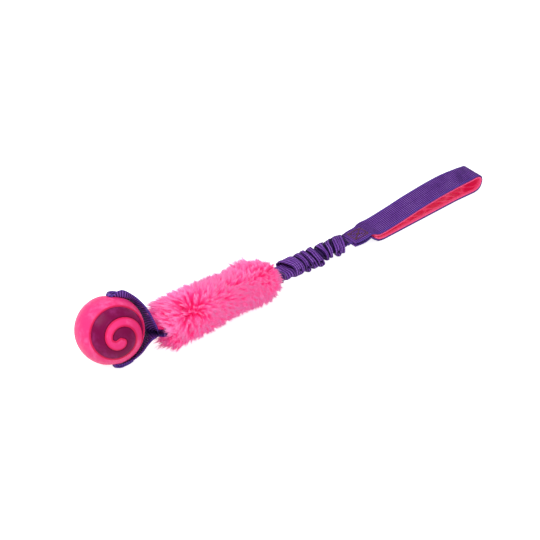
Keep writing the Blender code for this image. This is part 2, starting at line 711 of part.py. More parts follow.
def build_handle(parts, cutters, handle, webbing, satin, seam, thread):
    frames = loop_frames()
    mesh_object("handle_webbing", strip_along(frames, 0, 0, WEBBING_THICKNESS, None, LOOP_COLUMNS), parts, handle, webbing)
    lined = [row for row in frames if row[0].x >= LINING_START]
    inward = WEBBING_THICKNESS / 2 + GAP + LINING_THICKNESS / 2
    lining = strip_along(lined, inward, 0, LINING_THICKNESS, None, LOOP_COLUMNS)
    mesh_object("handle_lining", lining, parts, handle, satin)
    hem = WEBBING_WIDTH / 2 - HEM_INSET
    inward += LINING_THICKNESS / 2 + GAP + THREAD / 2
    for name, side in (("handle_edge_stitch_near", -1), ("handle_edge_stitch_far", 1)):
        row = strip_along(lined[2:-2], inward, side * hem, THREAD, 2 * THREAD)
        mesh_object(name, row, parts, handle, seam)

    tongue = [
        flat_section(Vector((x, 0, 0)), X, Y, width, TONGUE_THICKNESS)
        for x, width in ((TONGUE_THICKNESS / 2 + GAP, TONGUE_WIDTH), (HANDLE_BASE, TONGUE_WIDTH + 0.004))
    ]
    mesh_object("handle_tongue", loft(tongue), parts, handle, webbing)
    lift = TONGUE_THICKNESS / 2 + GAP + WEBBING_THICKNESS + GAP + THREAD / 2
    build_box_stitch("handle_box_stitch_top", lift, parts, cutters, handle, thread)
    build_box_stitch("handle_box_stitch_bottom", -lift, parts, cutters, handle, thread)


def main():
    clear_scene()
    parts = collection(OBJECT_NAME)
    cutters = collection("cutters", hidden=True)

    pink_rubber = material("pink_rubber", PINK_RUBBER, 0.45)
    purple_rubber = material("purple_rubber", PURPLE_RUBBER, 0.35)
    webbing = material("purple_webbing", PURPLE_NYLON, 0.7)
    pile = material("pink_pile", PINK_PILE, 0.9)
    knit = material("pink_knit", PINK_KNIT, 0.9)
    satin = material("pink_lining", PINK_SATIN, 0.5)
    seam = material("pink_thread", PINK_SATIN, 0.6)
    dark_thread = material("dark_thread", DARK_THREAD, 0.7)
    thread = material("purple_thread", PURPLE_THREAD, 0.7)
    rubber = material("latex", LATEX, 0.6)

    sleeve = pivot("sleeve_axes", Matrix.Translation(NECK), parts)

    toward_ball = Vector((math.cos(NECK_HEADING), math.sin(NECK_HEADING), 0))
    swing = pivot("neck_swing", frame(NECK, toward_ball, Z.cross(toward_ball), Z), parts, sleeve)
    hinge = NECK + toward_ball * NECK_TAB_LENGTH
    lift = pivot("neck_lift", frame(hinge, toward_ball, Z.cross(toward_ball), Z), parts, swing)
    lean = Vector((math.cos(BORE_HEADING), math.sin(BORE_HEADING), 0))
    bore = (Z * math.cos(BORE_LEAN) + lean * math.sin(BORE_LEAN)).normalized()
    reach = hinge - BALL_CENTRE
    outward = (reach - reach.dot(bore) * bore).normalized()
    loop_axes = frame(BALL_CENTRE, outward, bore.cross(outward), bore)
    loop = pivot("loop_axes", loop_axes, parts, lift)
    spin = pivot("ball_spin", loop_axes, parts, loop)

    along = (HANDLE_ROOT - BUNGEE_ROOT).normalized()
    near = pivot("bungee_near_axes", frame(BUNGEE_ROOT, along, Y, along.cross(Y)), parts, sleeve)
    far = pivot("bungee_far_axes", frame(HANDLE_ROOT, along, Y, along.cross(Y)), parts, near)
    yaw = Matrix.Rotation(HANDLE_YAW, 4, "Z")
    handle = pivot("handle_axes", Matrix.Translation(HANDLE_ROOT) @ yaw, parts, far)

    build_ball(parts, cutters, spin, pink_rubber, purple_rubber)
    build_strap(parts, loop, webbing)
    build_neck(parts, swing, webbing, thread)
    build_core(parts, sleeve, webbing)
    build_backing(parts, cutters, sleeve, knit, thread)
    build_pile(parts, cutters, sleeve, pile)
    build_bungee(parts, cutters, near, far, webbing, rubber, thread)
    build_handle(parts, cutters, handle, webbing, satin, seam, dark_thread)


if __name__ == "__main__":
    main()
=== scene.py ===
"""Looks of the bungee ball tug toy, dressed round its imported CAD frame. Metres, +Z up."""

import json
import logging
import math
from dataclasses import dataclass, field
from enum import Enum
from typing import Callable, Sequence

import bmesh
import bpy
import numpy as np
from mathutils import Matrix, Vector


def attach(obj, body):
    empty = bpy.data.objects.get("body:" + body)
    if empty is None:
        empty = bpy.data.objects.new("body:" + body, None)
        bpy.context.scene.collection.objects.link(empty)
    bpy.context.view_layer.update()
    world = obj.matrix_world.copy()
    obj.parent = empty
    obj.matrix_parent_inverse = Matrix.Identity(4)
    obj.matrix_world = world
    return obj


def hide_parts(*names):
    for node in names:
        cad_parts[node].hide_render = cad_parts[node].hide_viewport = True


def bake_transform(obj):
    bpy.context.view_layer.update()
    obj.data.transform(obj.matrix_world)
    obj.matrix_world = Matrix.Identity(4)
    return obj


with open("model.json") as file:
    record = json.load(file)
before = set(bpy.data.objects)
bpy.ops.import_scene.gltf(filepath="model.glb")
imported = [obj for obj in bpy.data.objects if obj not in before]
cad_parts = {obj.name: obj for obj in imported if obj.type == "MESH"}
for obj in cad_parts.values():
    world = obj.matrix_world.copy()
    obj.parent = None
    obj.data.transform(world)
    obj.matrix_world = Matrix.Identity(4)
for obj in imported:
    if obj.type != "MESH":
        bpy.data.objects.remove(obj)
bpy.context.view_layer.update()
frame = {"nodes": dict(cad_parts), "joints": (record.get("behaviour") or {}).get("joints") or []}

LOG = logging.getLogger("tug_toy")

MM = 0.001
TINY = 1e-9
SEAM_MERGE = 2e-7
SPIN_MERGE = 1e-6
TIP_MERGE = 1e-4

Row = Sequence[float]
Relief = Callable[[np.ndarray, np.ndarray, float], np.ndarray]
Seam = tuple[np.ndarray, np.ndarray, np.ndarray]


class Slot(str, Enum):
    """The record's material slots."""

    PINK_RUBBER = "pink_rubber"
    PURPLE_RUBBER = "purple_rubber"
    PURPLE_WEBBING = "purple_webbing"
    PINK_PILE = "pink_pile"
    PINK_KNIT = "pink_knit"
    PINK_LINING = "pink_lining"
    PINK_THREAD = "pink_thread"
    DARK_THREAD = "dark_thread"
    PURPLE_THREAD = "purple_thread"
    LATEX = "latex"


Finishes = dict[Slot, bpy.types.Material]


# Numbers and lines


def smooth(value: np.ndarray | float) -> np.ndarray | float:
    """A smooth step from 0 to 1 over the same range."""
    value = np.clip(value, 0.0, 1.0)
    return value * value * (3 - 2 * value)


def bell(value: np.ndarray, middle: np.ndarray | float, width: float) -> np.ndarray:
    """A bell curve that is 1 at its middle."""
    return np.exp(-(((value - middle) / width) ** 2))


def unit(vectors: np.ndarray) -> np.ndarray:
    """Vectors along the last axis, each with length 1."""
    return vectors / np.maximum(np.linalg.norm(vectors, axis=-1, keepdims=True), TINY * MM)


def slope_between(before: float, after: float) -> float:
    """A slope that never lets the line swing past a row: level where the numbers turn back."""
    return 2 * before * after / (before + after) if before * after > 0 else 0.0


def spline(rows: Sequence[Row], places: int, spans: int) -> np.ndarray:
    """A smooth line through rows of numbers.

    Args:
        rows: the rows to pass through; the first numbers of each are its place.
        places: how many of a row's numbers are its place.
        spans: steps between two rows.

    Returns:
        One row of numbers for each step.
    """
    lengths = [math.dist(a[:places], b[:places]) for a, b in zip(rows, rows[1:])]
    rises = [[(b - a) / length for a, b in zip(*pair)] for *pair, length in zip(rows, rows[1:], lengths)]
    slopes = [rises[0]]
    for before, after in zip(rises, rises[1:]):
        slopes.append([slope_between(a, b) for a, b in zip(before, after)])
    slopes.append(rises[-1])
    made = []
    for i, length in enumerate(lengths):
        for step in range(spans):
            t = step / spans
            share = t * t * (3 - 2 * t)
            leaving, arriving = length * t * (1 - t) ** 2, length * t * t * (t - 1)
            row = []
            for k in range(len(rows[0])):
                straight = rows[i][k] * (1 - share) + rows[i + 1][k] * share
                row.append(straight + leaving * slopes[i][k] + arriving * slopes[i + 1][k])
            made.append(row)
    made.append(list(rows[-1]))
    return np.array(made, float)


def even_rows(rows: np.ndarray, places: int, step: float) -> tuple[np.ndarray, np.ndarray]:
    """Rows respaced evenly by the distance between their places.

    Args:
        rows: closely spaced rows of numbers.
        places: how many of a row's numbers are its place.
        step: the wanted distance between two rows, in metres.

    Returns:
        The new rows, and the distance run at each.
    """
    run = np.concatenate(([0.0], np.cumsum(np.linalg.norm(np.diff(rows[:, :places], axis=0), axis=1))))
    count = max(int(round(run[-1] / step)), 2)
    at = np.linspace(0.0, run[-1], count + 1)
    return np.stack([np.interp(at, run, rows[:, k]) for k in range(rows.shape[1])], axis=1), at


# Meshes


def settled(bm: bmesh.types.BMesh, mesh: bpy.types.Mesh) -> bpy.types.Mesh:
    """Writes a shape to a mesh, and frees the shape.

    Args:
        bm: the shape.
        mesh: the mesh that takes it.

    Returns:
        The mesh.
    """
    bm.to_mesh(mesh)
    bm.free()
    return mesh


def vertex_places(mesh: bpy.types.Mesh) -> np.ndarray:
    """Reads where a mesh's vertices are.

    Args:
        mesh: the mesh.

    Returns:
        One place in each row.
    """
    flat = np.empty(len(mesh.vertices) * 3, np.float32)
    mesh.vertices.foreach_get("co", flat)
    return flat.reshape(-1, 3)


def corner_vertices(mesh: bpy.types.Mesh) -> np.ndarray:
    """Reads which vertex each face corner of a mesh is at.

    Args:
        mesh: the mesh.

    Returns:
        A vertex's index for each face corner.
    """
    corner = np.empty(len(mesh.loops), np.int32)
    mesh.loops.foreach_get("vertex_index", corner)
    return corner


def weave_map(mesh: bpy.types.Mesh) -> np.ndarray:
    """Reads a mesh's weave coordinates.

    Args:
        mesh: the mesh.

    Returns:
        The two coordinates of each face corner.
    """
    flat = np.empty(len(mesh.loops) * 2, np.float32)
    mesh.uv_layers["weave"].data.foreach_get("uv", flat)
    return flat.reshape(-1, 2)


def move_vertices(mesh: bpy.types.Mesh, points: np.ndarray) -> None:
    """Moves a mesh's vertices to these places."""
    mesh.vertices.foreach_set("co", points.astype(np.float32).ravel())


def from_axes(points: np.ndarray, axes: Matrix) -> np.ndarray:
    """Brings points out of these axes, into those that the axes are given in."""
    turn = np.array(axes)
    return points @ turn[:3, :3].T + turn[:3, 3]


def paint(mesh: bpy.types.Mesh, name: str, values: np.ndarray) -> None:
    """Gives a mesh a number at each vertex, for its material to read."""
    layer = mesh.attributes.new(name, "FLOAT", "POINT")
    layer.data.foreach_set("value", values.astype(np.float32).ravel())


def linked(name: str, data: bpy.types.ID) -> bpy.types.Object:
    """Makes an object and links it to the scene.

    Args:
        name: the object's name.
        data: its mesh, lamp or camera.

    Returns:
        The object.
    """
    obj = bpy.data.objects.new(name, data)
    bpy.context.scene.collection.objects.link(obj)
    return obj


@dataclass(frozen=True)
class Bend:
    """Where a piece bends, from the body it starts on to the body it ends on."""

    near: str
    far: str
    start: Vector
    end: Vector


def dress(
    mesh: bpy.types.Mesh, name: str, slot: Slot, finish: Finishes, holder: str | Bend, *nodes: str
) -> bpy.types.Object:
    """Makes a finished mesh a piece of the toy.

    Args:
        mesh: the mesh, in the frame's own axes.
        name: the piece's name.
        slot: the record's material slot, which also says its finish.
        finish: the finishes by slot.
        holder: the body that it rides on, or, for a piece that bends between two bodies, its Bend, which only
            leaves the piece in the frame's own axes.
        nodes: the CAD nodes that it stands for.

    Returns:
        The piece.
    """
    mesh.shade_smooth()
    mesh.materials.clear()
    mesh.materials.append(finish[slot])
    obj = linked(name, mesh)
    if isinstance(holder, Bend):
        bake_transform(obj)
    else:
        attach(obj, holder)
    if nodes:
        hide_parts(*nodes)
    return obj


def tube_mesh(
    name: str, points: np.ndarray, uv: np.ndarray, marks: dict[str, np.ndarray] | None = None
) -> bpy.types.Mesh:
    """A closed tube, made from a grid whose vertices are moved.

    Args:
        name: the mesh's name.
        points: places by row and column; the last column joins the first, and both ends are closed.
        uv: the weave's coordinates in metres by row and column, with one column more than the points.
        marks: numbers to paint on its vertices, by name, each by row and column.

    Returns:
        The mesh, with its UV map named weave.
    """
    rows, columns = points.shape[:2]
    bm = bmesh.new()
    bmesh.ops.create_grid(bm, x_segments=columns, y_segments=rows - 1, size=0.5)
    mesh = settled(bm, bpy.data.meshes.new(name))
    share = vertex_places(mesh)
    share = (share - share.min(axis=0)) / np.maximum(np.ptp(share, axis=0), TINY)
    i = np.rint(share[:, 0] * columns).astype(int)
    j = np.rint(share[:, 1] * (rows - 1)).astype(int)
    move_vertices(mesh, points[j, i % columns])
    corner = corner_vertices(mesh)
    layer = mesh.uv_layers.new(name="weave")
    layer.data.foreach_set("uv", uv[j[corner], i[corner]].astype(np.float32).ravel())
    for mark, values in (marks or {}).items():
        paint(mesh, mark, values[j, i % columns])
    bm = bmesh.new()
    bm.from_mesh(mesh)
    bmesh.ops.remove_doubles(bm, verts=bm.verts, dist=SEAM_MERGE)
    bmesh.ops.holes_fill(bm, edges=[e for e in bm.edges if e.is_boundary], sides=0)
    bmesh.ops.recalc_face_normals(bm, faces=bm.faces)
    return settled(bm, mesh)


def joined(name: str, meshes: Sequence[bpy.types.Mesh]) -> bpy.types.Mesh:
    """Joins several meshes.

    Args:
        name: the new mesh's name.
        meshes: the meshes, which are removed.

    Returns:
        The new mesh.
    """
    bm = bmesh.new()
    for mesh in meshes:
        bm.from_mesh(mesh)
        bpy.data.meshes.remove(mesh)
    return settled(bm, bpy.data.meshes.new(name))


def cloth_skin(
    name: str,
    surface: np.ndarray,
    thickness: float,
    run: np.ndarray,
    widths: np.ndarray,
    relief: Relief,
    share: np.ndarray | None = None,
) -> bpy.types.Mesh:
    """A closed skin round the middle surface of a strip of cloth.

    Args:
        name: the mesh's name.
        surface: the middle surface's places, by station and column.
        thickness: the cloth's thickness.
        run: distance along the strip at each station.
        widths: the strip's own width at each station.
        relief: how far a face stands out, from the run, the distance across and the side, 1 or -1.
        share: each column's place across, from -1 to 1, where the columns aren't even.

    Returns:
        The mesh, with its weave's coordinates in metres.
    """
    columns = surface.shape[1]
    share = np.linspace(-1, 1, columns) if share is None else share
    lateral = share[None, :] * widths[:, None] / 2
    length = np.repeat(run[:, None], columns, axis=1)
    out = unit(np.cross(np.gradient(surface, axis=0), np.gradient(surface, axis=1)))
    selvedge = 0.6 * thickness
    edge = np.clip((np.abs(lateral) - (widths[:, None] / 2 - selvedge)) / selvedge, 0, 1)
    half = thickness / 2 * np.sqrt(1 - edge**2)
    faces = []
    for side in (1, -1):
        proud = half + relief(length, lateral, side) * (1 - edge**2)
        faces.append(surface + side * proud[..., None] * out)
    inner = slice(columns - 2, 0, -1)
    points = np.concatenate((faces[0], faces[1][:, inner]), axis=1)
    around = np.concatenate((lateral, lateral[:, inner], lateral[:, :1]), axis=1)
    along = np.repeat(run[:, None], around.shape[1], axis=1)
    return tube_mesh(name, points, np.stack((around, along), axis=-1))


@dataclass
class Ribbon:
    """A woven strip along a path: its middle line, its directions across, its widths and its thickness."""

    centres: np.ndarray
    across: np.ndarray
    widths: np.ndarray
    thickness: float
    run: np.ndarray
    columns: int = 24

    def frames(self) -> tuple[np.ndarray, np.ndarray]:
        """Works out how the strip lies.

        Returns:
            The directions across its face and out of its face, at each station.
        """
        along = unit(np.gradient(self.centres, axis=0))
        across = unit(self.across - np.sum(self.across * along, axis=1, keepdims=True) * along)
        return across, np.cross(along, across)

    def skin(self, name: str, relief: Relief) -> bpy.types.Mesh:
        """Makes the strip's closed skin.

        Args:
            name: the mesh's name.
            relief: how far a face stands out, from the run, the distance across and the side, 1 or -1.

        Returns:
            The mesh, with its weave's coordinates in metres.
        """
        across, _ = self.frames()
        share = np.linspace(-1, 1, self.columns + 1)
        share = 0.35 * np.sin(share * math.pi / 2) + 0.65 * share
        lateral = share[None, :] * self.widths[:, None] / 2
        surface = self.centres[:, None] + lateral[..., None] * across[:, None]
        return cloth_skin(name, surface, self.thickness, self.run, self.widths, relief, share)


@dataclass(frozen=True)
class Weave:
    """Geometry of a ribbed webbing: cords across it, yarns along it, and how far the cords stand out."""

    pitch: float = 2.2 * MM
    yarn: float = 1.9 * MM
    depth: float = 0.18 * MM

    def relief(self, run: np.ndarray, lateral: np.ndarray, side: float) -> np.ndarray:
        """How far a face stands out, which depends on the run alone."""
        return self.depth * (0.5 + 0.5 * np.cos(2 * math.pi * run / self.pitch))

    def lay(self, mesh: bpy.types.Mesh, half_width: float) -> bpy.types.Mesh:
        """Counts a mesh's weave coordinates in yarns from its edge and in cords, instead of in metres.

        Args:
            mesh: the mesh.
            half_width: the distance from the strip's middle to its edge.

        Returns:
            The same mesh.
        """
        counts = weave_map(mesh)
        counts[:, 0] = (half_width - np.abs(counts[:, 0])) / self.yarn
        counts[:, 1] /= self.pitch
        mesh.uv_layers["weave"].data.foreach_set("uv", counts.ravel())
        return mesh


def uprights(shape: bmesh.types.BMesh) -> list[bmesh.types.BMEdge]:
    """The edges of a shape of height 1 that stand from its foot to its top."""
    return [e for e in shape.edges if abs(e.verts[0].co.z - e.verts[1].co.z) > 0.5]


def stitch_bed(name: str, seams: Sequence[Seam], radius: float) -> bpy.types.Mesh:
    """A mesh of thread stitches.

    Args:
        name: the mesh's name.
        seams: for each stitch its start, its end, and the way out of the cloth.
        radius: the thread's radius.

    Returns:
        The stitches, each a low bow of thread that dips into the cloth at both ends.
    """
    bm = bmesh.new()
    bmesh.ops.create_cone(bm, cap_ends=True, segments=5, radius1=1, radius2=1, depth=1)
    bmesh.ops.subdivide_edges(bm, edges=uprights(bm), cuts=3)
    return swarm(name, bm, len(seams), lambda u, ring: bow(seams, u, ring, radius))


def bow(seams: Sequence[Seam], u: np.ndarray, ring: np.ndarray, radius: float) -> np.ndarray:
    """Bends a template's corners along each stitch.

    Args:
        seams: for each stitch its start, its end, and the way out of the cloth.
        u: each corner's share of the template's height.
        ring: each corner's place round the template's middle.
        radius: the thread's radius.

    Returns:
        The corners' places, by stitch and corner.
    """
    start, end, out = (np.array([s[k] for s in seams], float)[:, None] for k in range(3))
    along = unit(end - start)
    sideways = np.cross(out, along)
    rise = np.sin(math.pi * u)[None, :, None]
    girth = (0.62 + 0.38 * rise) * radius
    middle = start + (end - start) * u[None, :, None] + out * (rise * radius * 1.5 - 0.6 * radius)
    return middle + girth * (sideways * ring[None, :, :1] + out * ring[None, :, 1:2])


def swarm(
    name: str, template: bmesh.types.BMesh, count: int, place: Callable[[np.ndarray, np.ndarray], np.ndarray]
) -> bpy.types.Mesh:
    """Many copies of one small upright shape, each bent to its own place.

    Args:
        name: the mesh's name.
        template: the shape, from -0.5 to 0.5 along Z.
        count: how many copies there are.
        place: gives every copy's corners from the template's height share and its place round the middle.

    Returns:
        One mesh of all the copies.
    """
    bmesh.ops.triangulate(template, faces=template.faces)
    template.verts.ensure_lookup_table()
    corners = np.array([v.co for v in template.verts], float)
    faces = np.array([[v.index for v in f.verts] for f in template.faces], np.int64)
    template.free()
    points = place(corners[:, 2] + 0.5, corners[:, :2]).reshape(-1, 3)
    shift = (np.arange(count) * len(corners))[:, None, None]
    indices = (faces[None] + shift).reshape(-1)
    mesh = bpy.data.meshes.new(name)
    mesh.vertices.add(len(points))
    move_vertices(mesh, points)
    mesh.loops.add(len(indices))
    mesh.loops.foreach_set("vertex_index", indices.astype(np.int32))
    mesh.polygons.add(len(indices) // 3)
    mesh.polygons.foreach_set("loop_start", np.arange(0, len(indices), 3, dtype=np.int32))
    mesh.update(calc_edges=True)
    return mesh


# Finishes


def linear(colour: Row) -> tuple[float, float, float, float]:
    """Turns an sRGB colour into linear light.

    Args:
        colour: its three channels, 0 to 255.

    Returns:
        Its three channels and a share of 1, in linear light.
    """
    made = []
    for channel in colour:
        share = channel / 255
        made.append(share / 12.92 if share <= 0.04045 else ((share + 0.055) / 1.055) ** 2.4)
    return (*made, 1.0)


class Nodes:
    """A material's nodes, made and joined in few words."""

    def __init__(self, name: str) -> None:
        """Starts a material with its shader.

        Args:
            name: the material's name.
        """
        self.material = bpy.data.materials.new(name)
        self.material.use_nodes = True
        self.tree = self.material.node_tree
        self.shader = self.tree.nodes["Principled BSDF"]

    def add(self, kind: str, **settings: object) -> bpy.types.Node:
        """Adds a node.

        Args:
            kind: the node's type, without its first word.
            settings: the node's settings, by name.

        Returns:
            The node.
        """
        node = self.tree.nodes.new("ShaderNode" + kind)
        for key, value in settings.items():
            setattr(node, key, value)
        return node

    def join(self, source: bpy.types.NodeSocket, target: bpy.types.NodeSocket) -> None:
        """Joins two sockets."""
        self.tree.links.new(source, target)

    def feed(self, socket: bpy.types.NodeSocket, value: object) -> None:
        """Joins a socket's output to a socket, or sets a plain value on it.

        Args:
            socket: the socket that is fed.
            value: another socket, or a plain value.
        """
        if isinstance(value, bpy.types.NodeSocket):
            self.join(value, socket)
        else:
            socket.default_value = value

    def sum(self, operation: str, *values: object) -> bpy.types.NodeSocket:
        """Adds a Math node.

        Args:
            operation: what it works out.
            values: what it works on, sockets or numbers.

        Returns:
            Its result.
        """
        node = self.add("Math", operation=operation)
        for socket, value in zip(node.inputs, values):
            self.feed(socket, value)
        return node.outputs[0]

    def blend(self, share: object, first: object, second: object) -> bpy.types.NodeSocket:
        """Blends two colours.

        Args:
            share: how much of the second there is, a socket or a number.
            first: a socket or an sRGB colour.
            second: a socket or an sRGB colour.

        Returns:
            The colour between them.
        """
        node = self.add("Mix", data_type="RGBA", clamp_factor=True)
        self.feed(node.inputs[0], share)
        for socket, value in zip(node.inputs[6:8], (first, second)):
            self.feed(socket, value if isinstance(value, bpy.types.NodeSocket) else linear(value))
        return node.outputs[2]

    def between(
        self, value: object, low: float, high: float, start: float = 0.0, end: float = 1.0
    ) -> bpy.types.NodeSocket:
        """Turns a value's place between two numbers into a smooth share.

        Args:
            value: the value, a socket.
            low: the value that gives the start.
            high: the value that gives the end.
            start: the share at low.
            end: the share at high.

        Returns:
            The share.
        """
        node = self.add("MapRange", interpolation_type="SMOOTHSTEP")
        for socket, number in zip(node.inputs[:5], (value, low, high, start, end)):
            self.feed(socket, number)
        return node.outputs[0]

    def place(self, stretch: Row = (1, 1, 1), turn: Row = (0, 0, 0)) -> bpy.types.NodeSocket:
        """Gives object coordinates.

        Args:
            stretch: the scale on each axis.
            turn: the turn about each axis, in radians.

        Returns:
            The coordinates.
        """
        mapping = self.add("Mapping")
        mapping.inputs["Scale"].default_value = stretch
        mapping.inputs["Rotation"].default_value = turn
        self.join(self.add("TexCoord").outputs["Object"], mapping.inputs["Vector"])
        return mapping.outputs[0]

    def noise(
        self, scale: float, detail: float = 3.0, roughness: float = 0.55, **place: Row
    ) -> bpy.types.NodeSocket:
        """Adds a Noise texture on object coordinates.

        Args:
            scale: its scale.
            detail: its detail.
            roughness: its roughness.
            place: the coordinates' stretch and turn, where they have them.

        Returns:
            Its value.
        """
        node = self.add("TexNoise")
        settings = {"Vector": self.place(**place), "Scale": scale, "Detail": detail, "Roughness": roughness}
        for key, value in settings.items():
            self.feed(node.inputs[key], value)
        return node.outputs[0]

    def bands(self, scale: float, distortion: float) -> bpy.types.NodeSocket:
        """Adds a Wave texture of slanting bands on object coordinates.

        Args:
            scale: its scale.
            distortion: its distortion.

        Returns:
            Its value.
        """
        node = self.add("TexWave", wave_type="BANDS", bands_direction="DIAGONAL")
        for key, value in {"Vector": self.place(), "Scale": scale, "Distortion": distortion}.items():
            self.feed(node.inputs[key], value)
        return node.outputs["Fac"]

    def attribute(self, name: str) -> bpy.types.NodeSocket:
        """A number painted on the mesh."""
        return self.add("Attribute", attribute_name=name).outputs["Fac"]

    def bump(
        self,
        height: object,
        distance: float,
        strength: float = 1.0,
        under: bpy.types.NodeSocket | None = None,
    ) -> bpy.types.NodeSocket:
        """Adds a bump.

        Args:
            height: its height, a socket.
            distance: how far a height of 1 stands out, in metres.
            strength: its strength.
            under: a bump that this one lies on.

        Returns:
            The bent normal.
        """
        node = self.add("Bump")
        for key, value in {"Strength": strength, "Distance": distance, "Height": height}.items():
            self.feed(node.inputs[key], value)
        if under is not None:
            self.join(under, node.inputs["Normal"])
        return node.outputs[0]

    def finish(
        self, colour: object, roughness: object, normal: bpy.types.NodeSocket, **plain: object
    ) -> bpy.types.Material:
        """Joins the results to the shader, and sets its plain values.

        Args:
            colour: the base colour, a socket.
            roughness: a socket or a number.
            normal: the bent normal.
            plain: other inputs of the shader, by name.

        Returns:
            The material.
        """
        self.feed(self.shader.inputs["Base Color"], colour)
        self.feed(self.shader.inputs["Roughness"], roughness)
        self.join(normal, self.shader.inputs["Normal"])
        for key, value in plain.items():
            self.shader.inputs[key.replace("_", " ").title().replace("Ior", "IOR")].default_value = value
        return self.material


@dataclass(frozen=True)
class RubberFinish:
    """Moulded rubber: a chalky bloom, faint mottling, and a deeper line where two colours meet."""

    name: str
    colour: Row
    bloom: Row
    seam: Row
    streak: float
    roughness: float
    gloss: float

    def build(self) -> bpy.types.Material:
        """Makes the material.

        Returns:
            The material.
        """
        n = Nodes(self.name)
        mottle = n.noise(85, 4)
        streaks = n.noise(210, 5, 0.65, stretch=(1, 1, 0.35), turn=(0.3, 0.5, 0.2))
        wear = n.sum("MULTIPLY", n.between(mottle, 0.42, 0.68), n.between(streaks, 0.35, 0.7))
        colour = n.blend(n.sum("MULTIPLY", wear, self.streak), self.colour, self.bloom)
        colour = n.blend(n.between(n.attribute("seam"), 0.1, 0.9), colour, self.seam)
        normal = n.bump(mottle, 0.6 * MM, 0.35)
        normal = n.bump(n.noise(2600, 2), 0.04 * MM, 0.35, normal)
        rough = n.between(streaks, 0.3, 0.7, self.roughness - 0.06, self.roughness + 0.1)
        return n.finish(colour, rough, normal, specular_ior_level=self.gloss)


@dataclass(frozen=True)
class WebbingFinish:
    """Ribbed nylon webbing: cords across it, yarns along it, and a plain bluish edge, with painted shade in
    its grooves and hollows and a painted glint on its cords.
    """

    name: str
    # light is the cords' lit colour and dark the painted shade of their grooves, also used for worn patches
    light: Row
    dark: Row
    # colour of the painted glint on the cords
    painted_glint: Row
    edge: Row
    # colour of the painted shade
    painted_shade: Row
    depth: float = 0.30 * MM

    def build(self) -> bpy.types.Material:
        """Makes the material.

        Returns:
            The material.
        """
        n = Nodes(self.name)
        parts = n.add("SeparateXYZ")
        n.join(n.add("UVMap", uv_map="weave").outputs[0], parts.inputs[0])
        yarns, cords = parts.outputs["X"], parts.outputs["Y"]
        drift = n.noise(160, 2)
        across = n.sum("MULTIPLY_ADD", drift, 0.5, yarns)
        along = n.sum("MULTIPLY_ADD", drift, 0.3, cords)
        rib, strand = (n.sum("COSINE", n.sum("MULTIPLY", count, 2 * math.pi)) for count in (along, across))
        height = n.sum("MULTIPLY_ADD", strand, 0.20, n.sum("MULTIPLY", rib, 0.80))
        height = n.sum("MULTIPLY_ADD", n.noise(2400, 2), 0.3, height)
        # noise for worn patches and for where the painted glint falls
        wear_and_glint_noise = n.noise(62, 3)
        # painted shade: the grooves between the cords take the dark colour and the cords' tops the light one
        colour = n.blend(n.between(height, -0.6, 0.95), self.dark, self.light)
        # painted glint: the cords' tops take a lighter colour in patches
        painted_glint_share = n.sum("MULTIPLY", n.between(height, 0.5, 1.1), n.between(wear_and_glint_noise, 0.42, 0.66))
        colour = n.blend(n.sum("MULTIPLY", painted_glint_share, 0.9), colour, self.painted_glint)
        colour = n.blend(n.between(wear_and_glint_noise, 0.46, 0.3, 0.0, 0.45), colour, self.dark)
        colour = n.blend(n.between(yarns, 1.15, 0.85, 0.0, 0.5), colour, self.edge)
        # painted shade where the mesh's shade marks say: the strap's wedge at the neck, the cover's valleys
        # and curls
        colour = n.blend(n.attribute("shade"), colour, self.painted_shade)
        normal = n.bump(wear_and_glint_noise, 1.4 * MM, 0.3)
        normal = n.bump(height, self.depth, 0.9, normal)
        return n.finish(colour, 0.6, normal, specular_ior_level=0.12)


@dataclass(frozen=True)
class PileFinish:
    """Long pile: deep at its roots, pale at its tips, a little different from lock to lock, and a painted
    glow that stands in for light passing through its fibres.
    """

    name: str
    root: Row
    middle: Row
    tip: Row
    # colour of the painted glow
    glow: Row
    painted_glow_strength: float

    def build(self) -> bpy.types.Material:
        """Makes the material.

        Returns:
            The material.
        """
        n = Nodes(self.name)
        along = n.attribute("along")
        colour = n.blend(n.between(along, 0.05, 0.55), self.root, self.middle)
        reach = n.sum("MULTIPLY_ADD", n.attribute("tint"), 0.35, n.between(along, 0.45, 1.0))
        colour = n.blend(n.sum("MULTIPLY", reach, 0.8), colour, self.tip)
        flecks = n.noise(900, 2)
        colour = n.blend(n.between(flecks, 0.55, 0.8, 0.0, 0.25), colour, self.tip)
        # painted glow: the pile gives off light of its own, standing in for light through its fibres
        glow = {"emission_color": linear(self.glow), "emission_strength": self.painted_glow_strength}
        return n.finish(colour, 0.6, n.bump(flecks, 0.05 * MM, 0.3), specular_ior_level=0.15, **glow)


@dataclass(frozen=True)
class ClothFinish:
    """A knitted or satin cloth: fine threads, painted shade in its creases, and a painted glow where it has
    one.
    """

    name: str
    light: Row
    dark: Row
    scale: float
    roughness: float
    # strength of a painted glow in the dark colour
    painted_glow_strength: float = 0.0

    def build(self) -> bpy.types.Material:
        """Makes the material.

        Returns:
            The material.
        """
        n = Nodes(self.name)
        soft = n.noise(120, 3)
        # painted shade: the crease marks blend towards the dark colour
        colour = n.blend(n.sum("MULTIPLY_ADD", soft, 0.25, n.attribute("crease")), self.light, self.dark)
        normal = n.bump(soft, 0.5 * MM, 0.3)
        normal = n.bump(n.bands(self.scale, 1.5), 0.06 * MM, 0.5, normal)
        rough = n.between(soft, 0.3, 0.7, self.roughness - 0.08, self.roughness + 0.08)
        # painted glow in the dark colour, which only the lining has
        glow = {"emission_color": linear(self.dark), "emission_strength": self.painted_glow_strength}
        return n.finish(colour, rough, normal, specular_ior_level=0.2, **glow)


